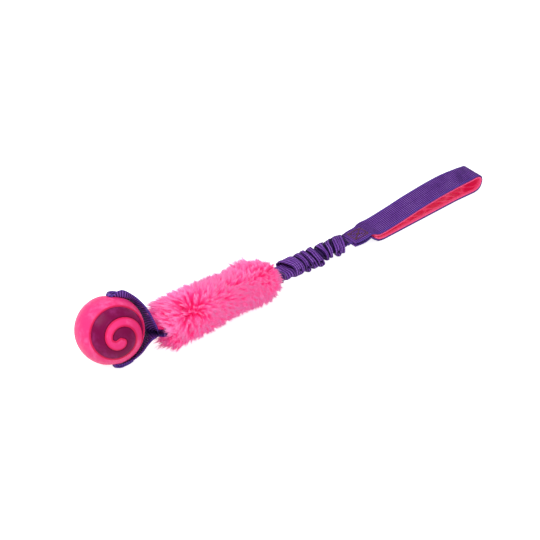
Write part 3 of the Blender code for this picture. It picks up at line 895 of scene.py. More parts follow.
@dataclass(frozen=True)
class ThreadFinish:
    """Sewing thread: two plies twisted round each other."""

    name: str
    light: Row
    dark: Row

    def build(self) -> bpy.types.Material:
        """Makes the material.

        Returns:
            The material.
        """
        n = Nodes(self.name)
        twist = n.bands(900, 1.0)
        colour = n.blend(twist, self.dark, self.light)
        return n.finish(colour, 0.6, n.bump(twist, 0.05 * MM, 0.6), sheen_weight=0.2)


def build_finishes() -> Finishes:
    """Makes every finish.

    Returns:
        The finishes, by the record's slot.
    """
    kinds = {
        Slot.PINK_RUBBER: (RubberFinish, (238, 48, 124), (253, 104, 170), (218, 14, 84), 0.8, 0.45, 0.2),
        Slot.PURPLE_RUBBER: (RubberFinish, (120, 2, 68), (150, 40, 110), (96, 0, 44), 0.8, 0.34, 0.09),
        # the webbing's numbers: the cords' lit colour, their painted groove shade, the painted glint, the
        # edge's colour and the painted shade's colour
        Slot.PURPLE_WEBBING: (
            WebbingFinish,
            (122, 68, 172),
            (52, 18, 88),
            (158, 112, 204),
            (86, 60, 160),
            (28, 6, 58),
        ),
        # the pile's last two numbers are its painted glow's colour and strength
        Slot.PINK_PILE: (PileFinish, (226, 6, 84), (252, 62, 154), (255, 172, 224), (255, 46, 150), 0.24),
        Slot.PINK_KNIT: (ClothFinish, (226, 78, 126), (96, 4, 40), 700, 0.8),
        # the lining's last number is the strength of its painted glow
        Slot.PINK_LINING: (ClothFinish, (254, 100, 152), (214, 22, 84), 500, 0.5, 0.18),
        Slot.PINK_THREAD: (ThreadFinish, (252, 120, 150), (224, 70, 112)),
        Slot.DARK_THREAD: (ThreadFinish, (100, 16, 60), (54, 6, 34)),
        Slot.PURPLE_THREAD: (ThreadFinish, (104, 62, 140), (60, 28, 90)),
        Slot.LATEX: (ClothFinish, (226, 214, 192), (188, 172, 146), 300, 0.6),
    }
    return {slot: kind(slot.value + "_dressed", *numbers).build() for slot, (kind, *numbers) in kinds.items()}


# The frame's own places


@dataclass(frozen=True)
class Places:
    """Where the joints are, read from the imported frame."""

    neck: Vector
    lift: Vector
    ball: Vector
    bungee: Vector
    handle: Vector
    bore: Vector
    pull: Vector

    @classmethod
    def read(cls) -> "Places":
        """Reads the joints.

        Returns:
            Their places and their ways.
        """
        joints = {joint["name"]: joint for joint in frame["joints"]}
        spots = ("neck_swing", "neck_lift", "ball_spin", "bungee_fold", "handle_fold")
        ways = ("ball_spin", "bungee_stretch")
        places = [Vector(joints[name]["pos_m"]) for name in spots]
        return cls(*places, *(Vector(joints[name]["axis"]).normalized() for name in ways))

    def loop_axes(self) -> Matrix:
        """Works out the ball's axes.

        Returns:
            The axes: X towards the neck, Z along the bore.
        """
        reach = self.lift - self.ball
        outward = (reach - reach.dot(self.bore) * self.bore).normalized()
        made = Matrix((outward, self.bore.cross(outward), self.bore)).transposed().to_4x4()
        made.translation = self.ball
        return made

    def bungee_axes(self) -> Matrix:
        """Works out the bungee's axes.

        Returns:
            The axes: X along its pull, from its near hinge.
        """
        side = Vector((0, 1, 0))
        made = Matrix((self.pull, side, self.pull.cross(side))).transposed().to_4x4()
        made.translation = self.bungee
        return made

    def stretch(self) -> Bend:
        """Where the bungee's pieces stretch between its two bodies."""
        start, end = self.bungee + self.pull * 6 * MM, self.handle - self.pull * 10 * MM
        return Bend("bungee_near", "bungee_far", start, end)


# Ball


@dataclass
class SwirlBall:
    """The rubber ball with a swirl inlaid on each side, and a bore for the webbing."""

    places: Places
    radius: float = 32.5 * MM
    bore_radius: float = 6.3 * MM
    bore_rim: float = 1.1 * MM
    arc_steps: int = 176
    lip_steps: int = 5
    wall_steps: int = 6
    turns: int = 380
    swirl_drop: float = math.radians(17.1)
    swirl_tilt: float = math.radians(4.3)
    start: float = 176.0
    outer: tuple[float, float] = (14.8, 0.075)
    swell: tuple[float, float, float] = (225.0, 231.0, 58.5)
    close: tuple[float, float, float] = (500.0, 60.0, 8.5)
    inner: tuple[float, float] = (3.2, 0.109)
    inner_start: float = 138.0
    winding_end: float = 560.0
    winding_step: float = 2.5
    end_wave: float = 0.12
    end_steps: int = 14
    recess: float = 0.35 * MM
    groove: float = 1.3 * MM
    inlay_thickness: float = 1.6 * MM

    def outline(self) -> np.ndarray:
        """Draws the swirl's outline.

        Returns:
            Its corners, each an angle from the swirl's axis laid flat by its turn.
        """
        winding = np.arange(0.0, self.winding_end + 0.1, self.winding_step)
        outer = self.outer[0] + self.outer[1] * winding
        start, length, full = self.swell
        outer = outer + (full - outer) * smooth((winding - start) / length)
        start, length, drop = self.close
        outer = outer - drop * smooth((winding - start) / length)
        rows = winding[winding >= self.inner_start]
        inner = self.inner[0] + self.inner[1] * (rows - self.inner_start)

        def flat(at: np.ndarray, angle: np.ndarray) -> np.ndarray:
            """Lays angles from the axis flat, at these windings.

            Args:
                at: the windings in degrees.
                angle: the angles from the axis in degrees.

            Returns:
                Flat places in metres.
            """
            turn = np.radians(self.start - at)
            reach = self.radius * np.radians(angle)
            return np.stack((reach * np.cos(turn), reach * np.sin(turn)), axis=1)

        out, back = flat(winding, outer), flat(rows, inner)[::-1]
        along = out[0] - back[-1]
        outward = np.array((-along[1], along[0]))
        t = np.linspace(0, 1, self.end_steps)[1:-1, None]
        cap = back[-1] + along * t + outward * -self.end_wave * np.sin(2 * math.pi * t)
        return np.concatenate((out, back, cap))

    def outside(self, directions: np.ndarray, turned: float) -> np.ndarray:
        """Measures how far directions from the ball's middle are outside a swirl.

        Args:
            directions: the directions, each with length 1.
            turned: how far round the bore the swirl is from the front one.

        Returns:
            The distances in metres, less than 0 inside the swirl.
        """
        tilt = Matrix.Rotation(self.swirl_drop, 3, "X")
        up, side = tilt @ Vector((0, 0, 1)), tilt @ Vector((0, 1, 0))
        right = Vector((1, 0, 0)) * math.cos(self.swirl_tilt) + side * math.sin(self.swirl_tilt)
        spin = Matrix.Rotation(turned, 3, "Z")
        axis = spin @ right.cross(up)
        x, y, z = (directions @ np.array(way) for way in (spin @ right, spin @ up, axis))
        reach = self.radius * np.arccos(np.clip(z, -1, 1))
        flat = np.stack((x, y), axis=1) / np.maximum(np.hypot(x, y), TINY)[:, None] * reach[:, None]
        far = reach > self.radius * math.radians(self.swell[2] + 12)
        made = np.full(len(flat), 1.0)
        made[~far] = self.to_outline(flat[~far], self.outline())
        return made

    @staticmethod
    def to_outline(points: np.ndarray, corners: np.ndarray) -> np.ndarray:
        """Measures flat points from a closed outline.

        Args:
            points: the points.
            corners: the outline's corners.

        Returns:
            The distances, less than 0 inside the outline.
        """
        nearest = np.full(len(points), np.inf)
        inside = np.zeros(len(points), bool)
        for a, b in zip(corners, np.roll(corners, -1, axis=0)):
            edge = b - a
            t = np.clip((points - a) @ edge / max(edge @ edge, TINY**2), 0, 1)
            nearest = np.minimum(nearest, np.hypot(*(points - a - t[:, None] * edge).T))
            crosses = (a[1] > points[:, 1]) != (b[1] > points[:, 1])
            if edge[1]:
                inside ^= crosses & (points[:, 0] < a[0] + edge[0] * (points[:, 1] - a[1]) / edge[1])
        return np.where(inside, -nearest, nearest)

    def turned_shell(self) -> bpy.types.Mesh:
        """Spins the ball with its bore from a half profile.

        Returns:
            The mesh, in the ball's own axes.
        """
        edge = math.asin((self.bore_radius + self.bore_rim) / self.radius)
        arc = np.linspace(edge, math.pi - edge, self.arc_steps)
        profile = [(self.radius * math.sin(a), self.radius * math.cos(a)) for a in arc]
        top = self.radius * math.cos(edge)
        lip = []
        for i in range(1, self.lip_steps + 1):
            t = math.pi / 2 * i / self.lip_steps
            x = self.bore_radius + self.bore_rim * (1 - math.sin(t))
            lip.append((x, top - self.bore_rim * (1 - math.cos(t))))
        wall = []
        for i in range(1, 2 * self.wall_steps):
            wall.append((self.bore_radius, (top - self.bore_rim) * (i / self.wall_steps - 1)))
        line = profile + [(x, -z) for x, z in lip] + wall + lip[::-1]
        bm = bmesh.new()
        verts = [bm.verts.new((x, 0, z)) for x, z in line]
        edges = [bm.edges.new(pair) for pair in zip(verts, verts[1:] + verts[:1])]
        round_bore = {"cent": (0, 0, 0), "axis": (0, 0, 1), "angle": 2 * math.pi, "steps": self.turns}
        bmesh.ops.spin(bm, geom=verts + edges, use_merge=True, **round_bore)
        bmesh.ops.remove_doubles(bm, verts=bm.verts, dist=SPIN_MERGE)
        bmesh.ops.recalc_face_normals(bm, faces=bm.faces)
        return settled(bm, bpy.data.meshes.new("ball_turned"))

    def build(self, finish: Finishes) -> list[bpy.types.Object]:
        """Makes the shell and its two inlays.

        Args:
            finish: the finishes by slot.

        Returns:
            The pieces.
        """
        mesh = self.turned_shell()
        at = vertex_places(mesh).astype(float)
        on_skin = np.linalg.norm(at, axis=1) > self.radius - 0.01 * MM
        direction = unit(at)
        spared = np.full(len(at), 1.0)
        pieces = []
        for node, turned in (("swirl_front", 0.0), ("swirl_rear", math.pi)):
            away = np.full(len(at), 1.0)
            away[on_skin] = self.outside(direction[on_skin], turned)
            spared = np.minimum(spared, away)
            pieces.append(self.inlay(mesh, node, direction, away, finish))
        sink = self.groove * smooth((0.3 * MM - spared) / (0.75 * MM))
        rim = 0.12 * MM * (bell(spared, 0.75 * MM, 0.5 * MM) - 1)
        moved = at + direction * np.where(on_skin, rim - sink, 0.0)[:, None]
        move_vertices(mesh, from_axes(moved, self.places.loop_axes()))
        paint(mesh, "seam", bell(spared, 0, 1.9 * MM))
        return [*pieces, dress(mesh, "rubber_ball", Slot.PINK_RUBBER, finish, "ball", "ball_shell")]

    def inlay(
        self, shell: bpy.types.Mesh, node: str, direction: np.ndarray, away: np.ndarray, finish: Finishes
    ) -> bpy.types.Object:
        """Makes one swirl from the shell's own faces, a little sunk and rounded along its edge.

        Args:
            shell: the ball's mesh, before its grooves.
            node: the swirl's CAD node.
            direction: each vertex's direction from the ball's middle.
            away: how far each vertex is outside the swirl.
            finish: the finishes by slot.

        Returns:
            The piece.
        """
        bm = bmesh.new()
        bm.from_mesh(shell)
        bm.verts.ensure_lookup_table()
        keep = away < 0.9 * MM
        bmesh.ops.delete(bm, geom=[v for v in bm.verts if not keep[v.index]], context="VERTS")
        mesh = settled(bm, bpy.data.meshes.new(node + "_inlay"))
        direction, away = direction[keep], away[keep]
        edge = smooth((away + 1.5 * MM) / (2.1 * MM))
        radius = self.radius - self.recess - 1.25 * MM * edge**2
        move_vertices(mesh, from_axes(direction * radius[:, None], self.places.loop_axes()))
        paint(mesh, "seam", bell(away, 0, 0.8 * MM))
        bm = bmesh.new()
        bm.from_mesh(mesh)
        bmesh.ops.solidify(bm, geom=bm.faces[:], thickness=self.inlay_thickness)
        bmesh.ops.recalc_face_normals(bm, faces=bm.faces)
        return dress(settled(bm, mesh), node + "_inlay", Slot.PURPLE_RUBBER, finish, "ball", node)


# Webbing round the ball, and the neck


@dataclass
class BallLoop:
    """The purple webbing that goes through the ball and whose two legs meet at the neck.

    Each station of a leg is its middle, its far edge and its near edge, and each of those is an angle from
    the bore in degrees, a distance towards the near side and a height over the ball in millimetres.
    """

    places: Places
    weave: Weave = field(default_factory=Weave)
    width: float = 20 * MM
    thickness: float = 1.5 * MM
    ball_radius: float = 32.5 * MM
    neck_width: float = 12 * MM
    pinch: float = 7.5 * MM
    layer_gap: float = 0.3 * MM
    upper: tuple[Row, ...] = (
        (5.0, 2.5, -0.9, 6.2, -5.0, -0.9, 0.0, 7.0, 0.3),
        (4.0, 8.2, 0.0, 9.6, -5.0, 1.2, -4.5, 9.0, -0.2),
        (5.5, 11.2, -0.9, 12.5, -4.5, 1.5, 0.5, 13.2, -1.9),
        (10, 12.6, -1.5, 15, -4.0, 1.5, 6.5, 13.0, 0.2),
        (15, 12.8, -1.6, 18, -3.5, 1.5, 12, 12.6, 3.2),
        (21, 12.5, -1.4, 22, -3.5, 1.5, 18, 12.4, 5.0),
        (27, 11.8, -0.8, 27, -4.0, 1.5, 25, 12.0, 5.2),
        (34, 9.0, 0.9, 33, -6.0, 1.5, 33, 11.0, 5.0),
        (42, 5.5, 1.9, 41, -8.0, 1.5, 42, 10.0, 4.8),
        (51, 2.0, 2.2, 50, -9.3, 1.5, 52, 9.7, 5.0),
        (61, 0.0, 2.9, 60, -9.8, 1.6, 62, 9.7, 5.6),
        (72, 0.0, 4.2, 72, -10.0, 2.4, 73, 9.7, 6.6),
        (82, 0.0, 5.4, 83, -10.0, 3.0, 81.5, 9.5, 7.7),
        (89.5, 0.0, 7.2, 95.0, -9.3, 4.5, 88.5, 9.0, 9.6),
        (94, -0.3, 10.2, 97.5, -8.8, 8.4, 93, 7.8, 11.0),
    )
    lower: tuple[Row, ...] = (
        (5.0, 0.0, -0.8, 5.0, -5.0, -0.8, 5.0, 5.0, -0.8),
        (9.4, 0.0, 1.0, 9.4, -5.0, 1.0, 9.4, 5.0, 1.0),
        (14, 0.0, 1.4, 14, -5.5, 1.4, 14, 5.6, 1.2),
        (20, 0.0, 1.4, 20, -6.5, 1.3, 20, 7.2, 1.1),
        (28, 0.0, 1.4, 28, -8.0, 1.2, 28, 8.6, 1.6),
        (40, 0.0, 1.4, 40, -9.5, 0.9, 40, 9.6, 2.1),
        (51, 0.0, 1.7, 53, -10.0, 0.9, 50, 10.0, 2.9),
        (61, 0.0, 2.6, 66, -10.0, 1.4, 59, 10.0, 3.6),
        (69, 0.0, 4.2, 76, -10.0, 3.0, 66, 9.9, 5.2),
        (78, 0.0, 6.4, 85.0, -9.2, 5.0, 72, 9.4, 8.4),
    )
    bore_path: tuple[Row, ...] = ((2.7, 28.5), (2.6, 24.0))
    pleat_upper: tuple[Row, ...] = (
        (9.5, 2.0, 2.6, 10.3, -4.0, 3.0, 6.0, 8.6, 1.6),
        (16, 2.0, 2.8, 17, -3.0, 3.0, 13, 9.4, 2.0),
        (24, 4.0, 2.8, 24, 0.0, 3.0, 22, 9.0, 2.6),
        (31, 5.0, 2.8, 31, 3.6, 2.8, 31, 6.4, 2.9),
    )
    pleat_lower: tuple[Row, ...] = (
        (10.6, 0.0, 3.1, 10.6, -5.0, 3.0, 10.6, 5.0, 3.0),
        (17, 0.0, 3.0, 17, -4.5, 2.9, 17, 5.4, 2.9),
        (24, 1.5, 2.9, 24, -2.5, 2.9, 24, 5.8, 2.9),
        (31, 4.5, 2.8, 31, 3.0, 2.8, 31, 6.0, 2.8),
    )
    pleat_bore: tuple[Row, ...] = ((3.3, 34.6), (1.4, 32.0), (0.9, 28.5), (0.8, 24.0))
    rounding: float = 0.12
    rim: float = 5.5 * MM
    columns: int = 30
    step: float = 0.24 * MM
    strap_rise: float = 0.6
    pleat_rise: float = 1.75
    core: tuple[tuple[float, float], ...] = ((1.6 * MM, 8.5 * MM), (8 * MM, 13 * MM), (30 * MM, 20 * MM))

    def station(self, row: Row, side: int) -> list[float]:
        """Works out one station in the ball's axes.

        Args:
            row: the angles, distances and heights of its middle, its far edge and its near edge.
            side: 1 on the upper leg and -1 on the lower one.

        Returns:
            The three places, one after the other.
        """
        places = []
        for degrees, toward, height in (row[0:3], row[3:6], row[6:9]):
            turn, reach = math.radians(degrees), self.ball_radius + height * MM
            places += [reach * math.sin(turn), -toward * MM, side * reach * math.cos(turn)]
        return places

    def inside(self, place: Row, side: int) -> list[float]:
        """A station on the way through the bore, where the webbing is folded to half its width."""
        x, z, half = place[0] * MM, side * place[1] * MM, self.width / 4
        return [x, 0.0, z, x, half, z, x, -half, z]

    def neck_station(self, back: float, side: int) -> list[float]:
        """Works out a station where the legs lie on each other.

        Args:
            back: how far it is from the neck's inner hinge towards the ball.
            side: 1 on the upper leg and -1 on the lower one.

        Returns:
            Its middle, far and near places, one after the other.
        """
        inverse = self.places.loop_axes().inverted()
        turn = inverse.to_3x3()
        forward = turn @ (self.places.neck - self.places.lift).normalized()
        upward = turn @ Vector((0, 0, 1))
        across = upward.cross(forward) * self.pinch / 2
        middle = inverse @ self.places.lift - forward * back
        middle = middle + upward * side * (self.thickness + self.layer_gap) / 2
        return [*middle, *(middle + across), *(middle - across)]

    @staticmethod
    def approach(last: list[float], end: list[float], bulge: float = 0.08) -> list[float]:
        """Works out a station halfway between the ball and the neck.

        Args:
            last: the last station at the ball.
            end: the first station at the neck.
            bulge: how much wider it is than halfway between the two.

        Returns:
            The station.
        """
        made = [(a + b) / 2 for a, b in zip(last, end)]
        for k in (3, 6):
            for axis in range(3):
                made[k + axis] += bulge * (made[k + axis] - made[axis])
        return made

    def surface(self, rows: list[list[float]], clear: float) -> tuple[np.ndarray, np.ndarray]:
        """Works out the middle surface of a layer of the strap.

        Args:
            rows: the layer's stations.
            clear: how far over the ball the middle surface stays.

        Returns:
            The surface's places in the frame by station and column, and the run at each station.
        """
        line, run = even_rows(spline(rows, 3, 20), 3, self.step)
        u = np.linspace(-1, 1, self.columns + 1)[None, :, None]
        full = math.sqrt(1 + self.rounding**2) + 1
        near, far = ((np.sqrt(u**2 + self.rounding**2) + way * u) / full for way in (1, -1))
        middle = line[:, None, :3]
        points = middle + (line[:, None, 6:9] - middle) * near + (line[:, None, 3:6] - middle) * far
        away = np.linalg.norm(points, axis=-1, keepdims=True)
        beyond = smooth((np.hypot(points[..., :1], points[..., 1:2]) - self.rim) / (2 * MM))
        short = np.maximum(self.ball_radius + clear - away, 0)
        points = from_axes(points * (1 + beyond * short / away), self.places.loop_axes())
        points[..., 2] = np.maximum(points[..., 2], self.thickness / 2 + self.weave.depth)
        return points, run

    def layer(self, rows: list[list[float]], rise: float, width: float) -> bpy.types.Mesh:
        """Makes one layer of the strap.

        Args:
            rows: the layer's stations.
            rise: how far over the ball its middle stays, in thicknesses.
            width: its own width.

        Returns:
            The mesh.
        """
        surface, run = self.surface(rows, rise * self.thickness)
        widths = np.full(len(run), width)
        mesh = cloth_skin("strap_layer", surface, self.thickness, run, widths, self.weave.relief)
        return self.weave.lay(mesh, width / 2)

    def build(self, finish: Finishes) -> list[bpy.types.Object]:
        """Makes the loop and the webbing in the sleeve.

        Args:
            finish: the finishes by slot.

        Returns:
            The pieces.
        """
        rows: list[list[float]] = []
        for leg, side in ((self.upper, 1), (self.lower, -1)):
            stations = [self.inside(place, side) for place in self.bore_path[::-1]]
            stations += [self.station(row, side) for row in leg]
            end = self.neck_station(1.6 * MM, side)
            stations += [self.approach(stations[-1], end), end, self.neck_station(-3.0 * MM, side)]
            rows += stations if side < 0 else stations[::-1]
        pleat = [self.station(row, 1) for row in self.pleat_upper[::-1]]
        pleat += [self.inside(place, 1) for place in self.pleat_bore]
        pleat += [self.inside(place, -1) for place in self.pleat_bore[::-1]]
        pleat += [self.station(row, -1) for row in self.pleat_lower]
        strap = self.layer(rows, self.strap_rise, self.width)
        inner = self.layer(pleat, self.pleat_rise, self.width / 2)
        mesh = joined("ball_webbing", [strap, inner])
        # painted shade in the wedge between the legs
        self.paint_wedge_shade(mesh)
        reach = (self.places.lift - self.places.neck).normalized() * 2.5 * MM
        bend = Bend("neck", "ball_loop", self.places.lift - reach, self.places.lift + reach)
        piece = dress(mesh, "ball_webbing", Slot.PURPLE_WEBBING, finish, bend, "ball_strap")
        return [piece, self.neck(finish)]

    def paint_wedge_shade(self, mesh: bpy.types.Mesh) -> None:
        """Paints shade on the strap in the wedge where its two legs close on the neck.

        Args:
            mesh: the strap, with its places in the frame.
        """
        inverse = self.places.loop_axes().inverted()
        meet = inverse @ self.places.lift
        spots = from_axes(vertex_places(mesh), inverse)
        off = np.abs(spots[:, 2] - meet.z * spots[:, 0] / meet.x)
        out = smooth((spots[:, 0] - self.ball_radius) / (4 * MM))
        paint(mesh, "shade", out * np.clip(1.15 - off / (3.6 * MM), 0, 0.95))

    def neck(self, finish: Finishes) -> bpy.types.Object:
        """Makes the two legs laid together, into the sleeve and through it to the bungee.

        Args:
            finish: the finishes by slot.

        Returns:
            The piece.
        """
        neck, toward = self.places.neck, (self.places.lift - self.places.neck).normalized()
        starts = (self.places.lift - toward * 2.4 * MM, neck + toward * 1.2 * MM)
        rows = [(*start, self.pinch) for start in starts]
        rows += [(*(neck + Vector((past, 0, 0))), width) for past, width in self.core]
        rows.append((*(self.places.bungee - Vector((3 * MM, 0, 0))), self.width))
        meshes = []
        for side in (1, -1):
            line, run = even_rows(spline(rows, 3, 24), 3, 0.42 * MM)
            line[:, 2] += side * (self.thickness + self.layer_gap) / 2
            along = unit(np.gradient(line[:, :3], axis=0))
            across = np.cross(np.array((0, 0, 1.0)), along)
            ribbon = Ribbon(line[:, :3], across, line[:, 3], self.thickness, run, columns=14)
            meshes.append(self.weave.lay(ribbon.skin("layer", self.weave.relief), self.neck_width / 2))
        mesh = joined("sleeve_webbing", meshes)
        bend = Bend("sleeve", "neck", neck - toward * 2.2 * MM, neck + toward * 2.2 * MM)
        return dress(mesh, "sleeve_webbing", Slot.PURPLE_WEBBING, finish, bend, "neck_tab", "core_webbing")


# Sleeve


@dataclass
class PileSleeve:
    """The long-pile sleeve: a knitted tube, an undercoat and locks of pile combed from a parting."""

    places: Places
    start: float = -169.0 * MM
    end: float = -50.5 * MM
    ball_radius: float = 25.5 * MM
    bungee_radius: float = 22.5 * MM
    rounding: float = 14.0 * MM
    shift: float = 0.8 * MM
    flat: float = 0.5 * MM
    root_share: float = 0.50
    undercoat_share: float = 0.60
    undercoat_inset: float = 9 * MM
    parting: float = math.radians(121)
    crown: float = -78 * MM
    skirt: float = -66 * MM
    lean_places: Row = (-170, -163, -155, -142, -128, -100, -84, -72, -62, -54, -46)
    leans: Row = (-1.35, -0.95, -0.40, 0.20, 0.60, 0.60, 0.10, -0.25, -0.05, 0.45, 1.00)
    locks: int = 3650
    mouth_locks: int = 680
    end_locks: int = 300
    collar_share: float = 0.48
    mouth_drop: float = 6.0 * MM
    strands: int = 14
    strand_spread: float = 0.95 * MM
    pieces: int = 6
    girth: float = 0.21 * MM
    floor: float = 0.35 * MM
    seed: int = 41

    def full_radius(self, share: np.ndarray) -> np.ndarray:
        """The pile's radius at a share of the way to the bungee, without its rounded ends."""
        return self.ball_radius + (self.bungee_radius - self.ball_radius) * share

    def centre(self, x: np.ndarray) -> tuple[np.ndarray, np.ndarray]:
        """The pile's middle across and above the ground, at x."""
        full = self.full_radius((x - self.start) / (self.end - self.start))
        return np.full_like(x, self.places.neck.y + self.shift), full - self.flat

    def reach(self, x: np.ndarray) -> np.ndarray:
        """Works out the pile's outer radius.

        Args:
            x: places along the sleeve.

        Returns:
            The radius at each.
        """
        made = self.full_radius(np.clip((x - self.start) / (self.end - self.start), 0, 1))
        for away, drop in ((x - self.start, 0.25), (self.end - x, 0.5)):
            inward = np.clip(1 - away / self.rounding, 0, 1)
            made = made - drop * self.rounding * (1 - np.sqrt(1 - inward**2))
        return made

    def swell(self, x: np.ndarray, turn: np.ndarray) -> np.ndarray:
        """Works out how much further out the pile stands: on top towards the ball, and low near the bungee.

        Args:
            x: places along the sleeve.
            turn: turns round the sleeve.

        Returns:
            The distance at each.
        """
        top, low = (np.clip(np.cos(turn - way), 0, 1) for way in (1.2, 3.98))
        flare = 4.6 * MM * bell(x, self.start + 4 * MM, 42 * MM) * top**0.7
        skirt = 4.5 * MM * bell(x, self.skirt, 15 * MM) * low
        brow = 4.5 * MM * bell(x, self.end, 10 * MM) * top
        return flare + skirt - brow + 1.2 * MM * np.cos(turn - 0.8)

    def lean(self, x: np.ndarray, turn: np.ndarray) -> np.ndarray:
        """Works out how far locks lean towards the bungee, for each unit that they stand out.

        Args:
            x: places along the sleeve.
            turn: turns round the sleeve.

        Returns:
            The lean at each.
        """
        combed = 0.40 + 1.15 * bell(self.from_parting(turn), 0.3, 0.6)
        middle = smooth((x - self.start - 22 * MM) / (18 * MM)) * smooth((self.end - 26 * MM - x) / (18 * MM))
        return np.interp(x, np.array(self.lean_places) * MM, self.leans) * (1 + (combed - 1) * middle)

    def from_parting(self, turn: np.ndarray) -> np.ndarray:
        """How far round from the parting, from -pi to pi."""
        return np.mod(turn - self.parting + math.pi, 2 * math.pi) - math.pi

    def undercoat(self, finish: Finishes) -> bpy.types.Object:
        """Makes the short dense fibres under the locks, as one lumpy form.

        Args:
            finish: the finishes by slot.

        Returns:
            The piece.
        """
        rows, columns, inset = 150, 120, self.undercoat_inset
        x = np.linspace(self.start + inset / 2, self.end - inset / 2, rows)[:, None]
        turn = np.linspace(0, 2 * math.pi, columns, endpoint=False)
        y0, z0 = self.centre(x)
        inward = np.clip(1 - np.minimum(x - x[0], x[-1] - x) / inset, 0, 1)
        radius = self.reach(x) * self.undercoat_share * np.sqrt(np.clip(1 - inward**2, 0.04, 1))
        lumps = 1 + 0.05 * np.sin(9 * turn + 1800 * x) + 0.05 * np.sin(5 * turn - x / (3 * MM))
        y = y0 + radius * lumps * np.cos(turn)
        z = np.maximum(z0 + radius * lumps * np.sin(turn), 0.6 * MM)
        points = np.stack((np.repeat(x, columns, axis=1), y, z), axis=-1)
        mesh = tube_mesh("pile_undercoat", points, np.zeros((rows, columns + 1, 2)))
        paint(mesh, "along", np.full(len(mesh.vertices), 0.05))
        paint(mesh, "tint", np.zeros(len(mesh.vertices)))
        return dress(mesh, "pile_undercoat", Slot.PINK_PILE, finish, "sleeve", "fur_pile")

    def backing(self, finish: Finishes) -> bpy.types.Object:
        """Makes the knitted tube that the pile stands on, with two lips that open round the neck.

        Args:
            finish: the finishes by slot.

        Returns:
            The piece.
        """
        columns, neck = 48, self.places.neck
        turn = np.linspace(0, 2 * math.pi, columns, endpoint=False)
        cos, sin = np.cos(turn), np.sin(turn)
        boxy = [np.copysign(np.abs(way) ** 0.6, way) for way in (cos, sin)]
        open_end = np.abs(sin) ** 1.6
        shares = np.linspace(0, 1, 40)
        rows = []
        for share in shares:
            mouth = smooth(1 - share / 0.16)
            x = neck.x + (9 - (1 + 5.5 * open_end) * mouth) * MM
            x = x + (self.places.bungee.x - neck.x - 10.9 * MM) * smooth((share - 0.1) / 0.9)
            core = (12 + 8 * smooth((x - neck.x - 6 * MM) / (24 * MM))) * MM
            half_width = core / 2 + (1.7 - 0.6 * mouth) * MM
            half_height = (3.05 + 1.1 * mouth**1.5 * open_end) * MM
            y = neck.y + half_width * boxy[0] + mouth * open_end * MM
            rows.append(np.stack((x, y, neck.z + half_height * boxy[1]), axis=1))
        uv = np.stack(np.meshgrid(np.linspace(0, 60 * MM, columns + 1), shares * 130 * MM), axis=-1)
        mesh = tube_mesh("knit_backing", np.array(rows), uv)
        bm = bmesh.new()
        bm.from_mesh(mesh)
        bmesh.ops.delete(bm, geom=[f for f in bm.faces if len(f.verts) > 8], context="FACES_ONLY")
        bmesh.ops.solidify(bm, geom=bm.faces[:], thickness=0.6 * MM)
        bmesh.ops.recalc_face_normals(bm, faces=bm.faces)
        settled(bm, mesh)
        paint(mesh, "crease", np.zeros(len(mesh.vertices)))
        return dress(mesh, "knit_backing", Slot.PINK_KNIT, finish, "sleeve", "fur_backing")

    def side_locks(self, rng: np.random.Generator) -> dict[str, np.ndarray]:
        """Draws the locks along the sleeve.

        Args:
            rng: the random numbers.

        Returns:
            Each lock's numbers by name: where its foot is along and round the sleeve, how far out its foot
            and its tip are, its lean, how far round it is combed, and how far its foot drops.
        """
        n = self.locks
        x = self.start + (self.end - self.start) * (np.arange(n) + rng.random(n)) / n
        turn = rng.random(n) * 2 * math.pi
        outer = self.reach(x)
        tip = outer * (0.86 + 0.20 * rng.random(n)) + self.swell(x, turn)
        crown = bell(x, self.crown, 11 * MM) * np.clip(np.sin(turn - math.radians(10)), 0, 1)
        tip = tip + crown * 9.0 * MM * rng.random(n) ** 1.4
        lean = self.lean(x, turn) + 0.20 * rng.standard_normal(n)
        away = self.from_parting(turn)
        comb = 0.40 * np.tanh(away / 0.3) * bell(away, 0, 1.3) + 0.15 * rng.standard_normal(n)
        foot, drop = outer * self.root_share, np.zeros(n)
        return {"x": x, "turn": turn, "foot": foot, "tip": tip, "lean": lean, "comb": comb, "drop": drop}

    def face_locks(self, rng: np.random.Generator) -> dict[str, np.ndarray]:
        """Draws the locks on the sleeve's two ends, with a collar of short ones round the neck.

        Args:
            rng: the random numbers.

        Returns:
            The same numbers as for the locks along the sleeve.
        """
        m = self.mouth_locks + self.end_locks
        mouth = np.arange(m) < self.mouth_locks
        out = np.where(mouth, 0.12 + 0.50 * rng.random(m), 0.22 + 0.30 * rng.random(m))
        x = np.where(mouth, self.start - 1 * MM, self.end + 1 * MM) + 1.5 * MM * rng.standard_normal(m)
        reach = self.reach(np.clip(x, self.start + 1 * MM, self.end - 1 * MM))
        turn = rng.random(m) * 2 * math.pi
        collar = mouth & (rng.random(m) < self.collar_share)
        turn = np.where(collar, 2.4 + 0.95 * rng.standard_normal(m), turn)
        beside = np.where(mouth, 2.4 * MM + 2.6 * MM * np.cos(turn) ** 2, 0)
        foot = np.where(collar, beside + 2.4 * MM * rng.random(m), np.maximum(reach * out, beside))
        growth = np.where(mouth, 0.40, 0.28) + 0.20 * rng.random(m)
        growth = np.where(collar, 0.11 + 0.10 * rng.random(m), growth)
        tip = foot + reach * growth + np.where(mouth, 0, self.swell(x, turn))
        lean = np.where(mouth, -1.45, 0.8) * (1.15 - 0.9 * out) * (0.7 + 0.5 * rng.random(m))
        lean = np.where(collar, -2.2 - 1.4 * rng.random(m), lean)
        comb = 0.15 * rng.standard_normal(m)
        drop = np.where(mouth, self.mouth_drop, 0)
        return {"x": x, "turn": turn, "foot": foot, "tip": tip, "lean": lean, "comb": comb, "drop": drop}

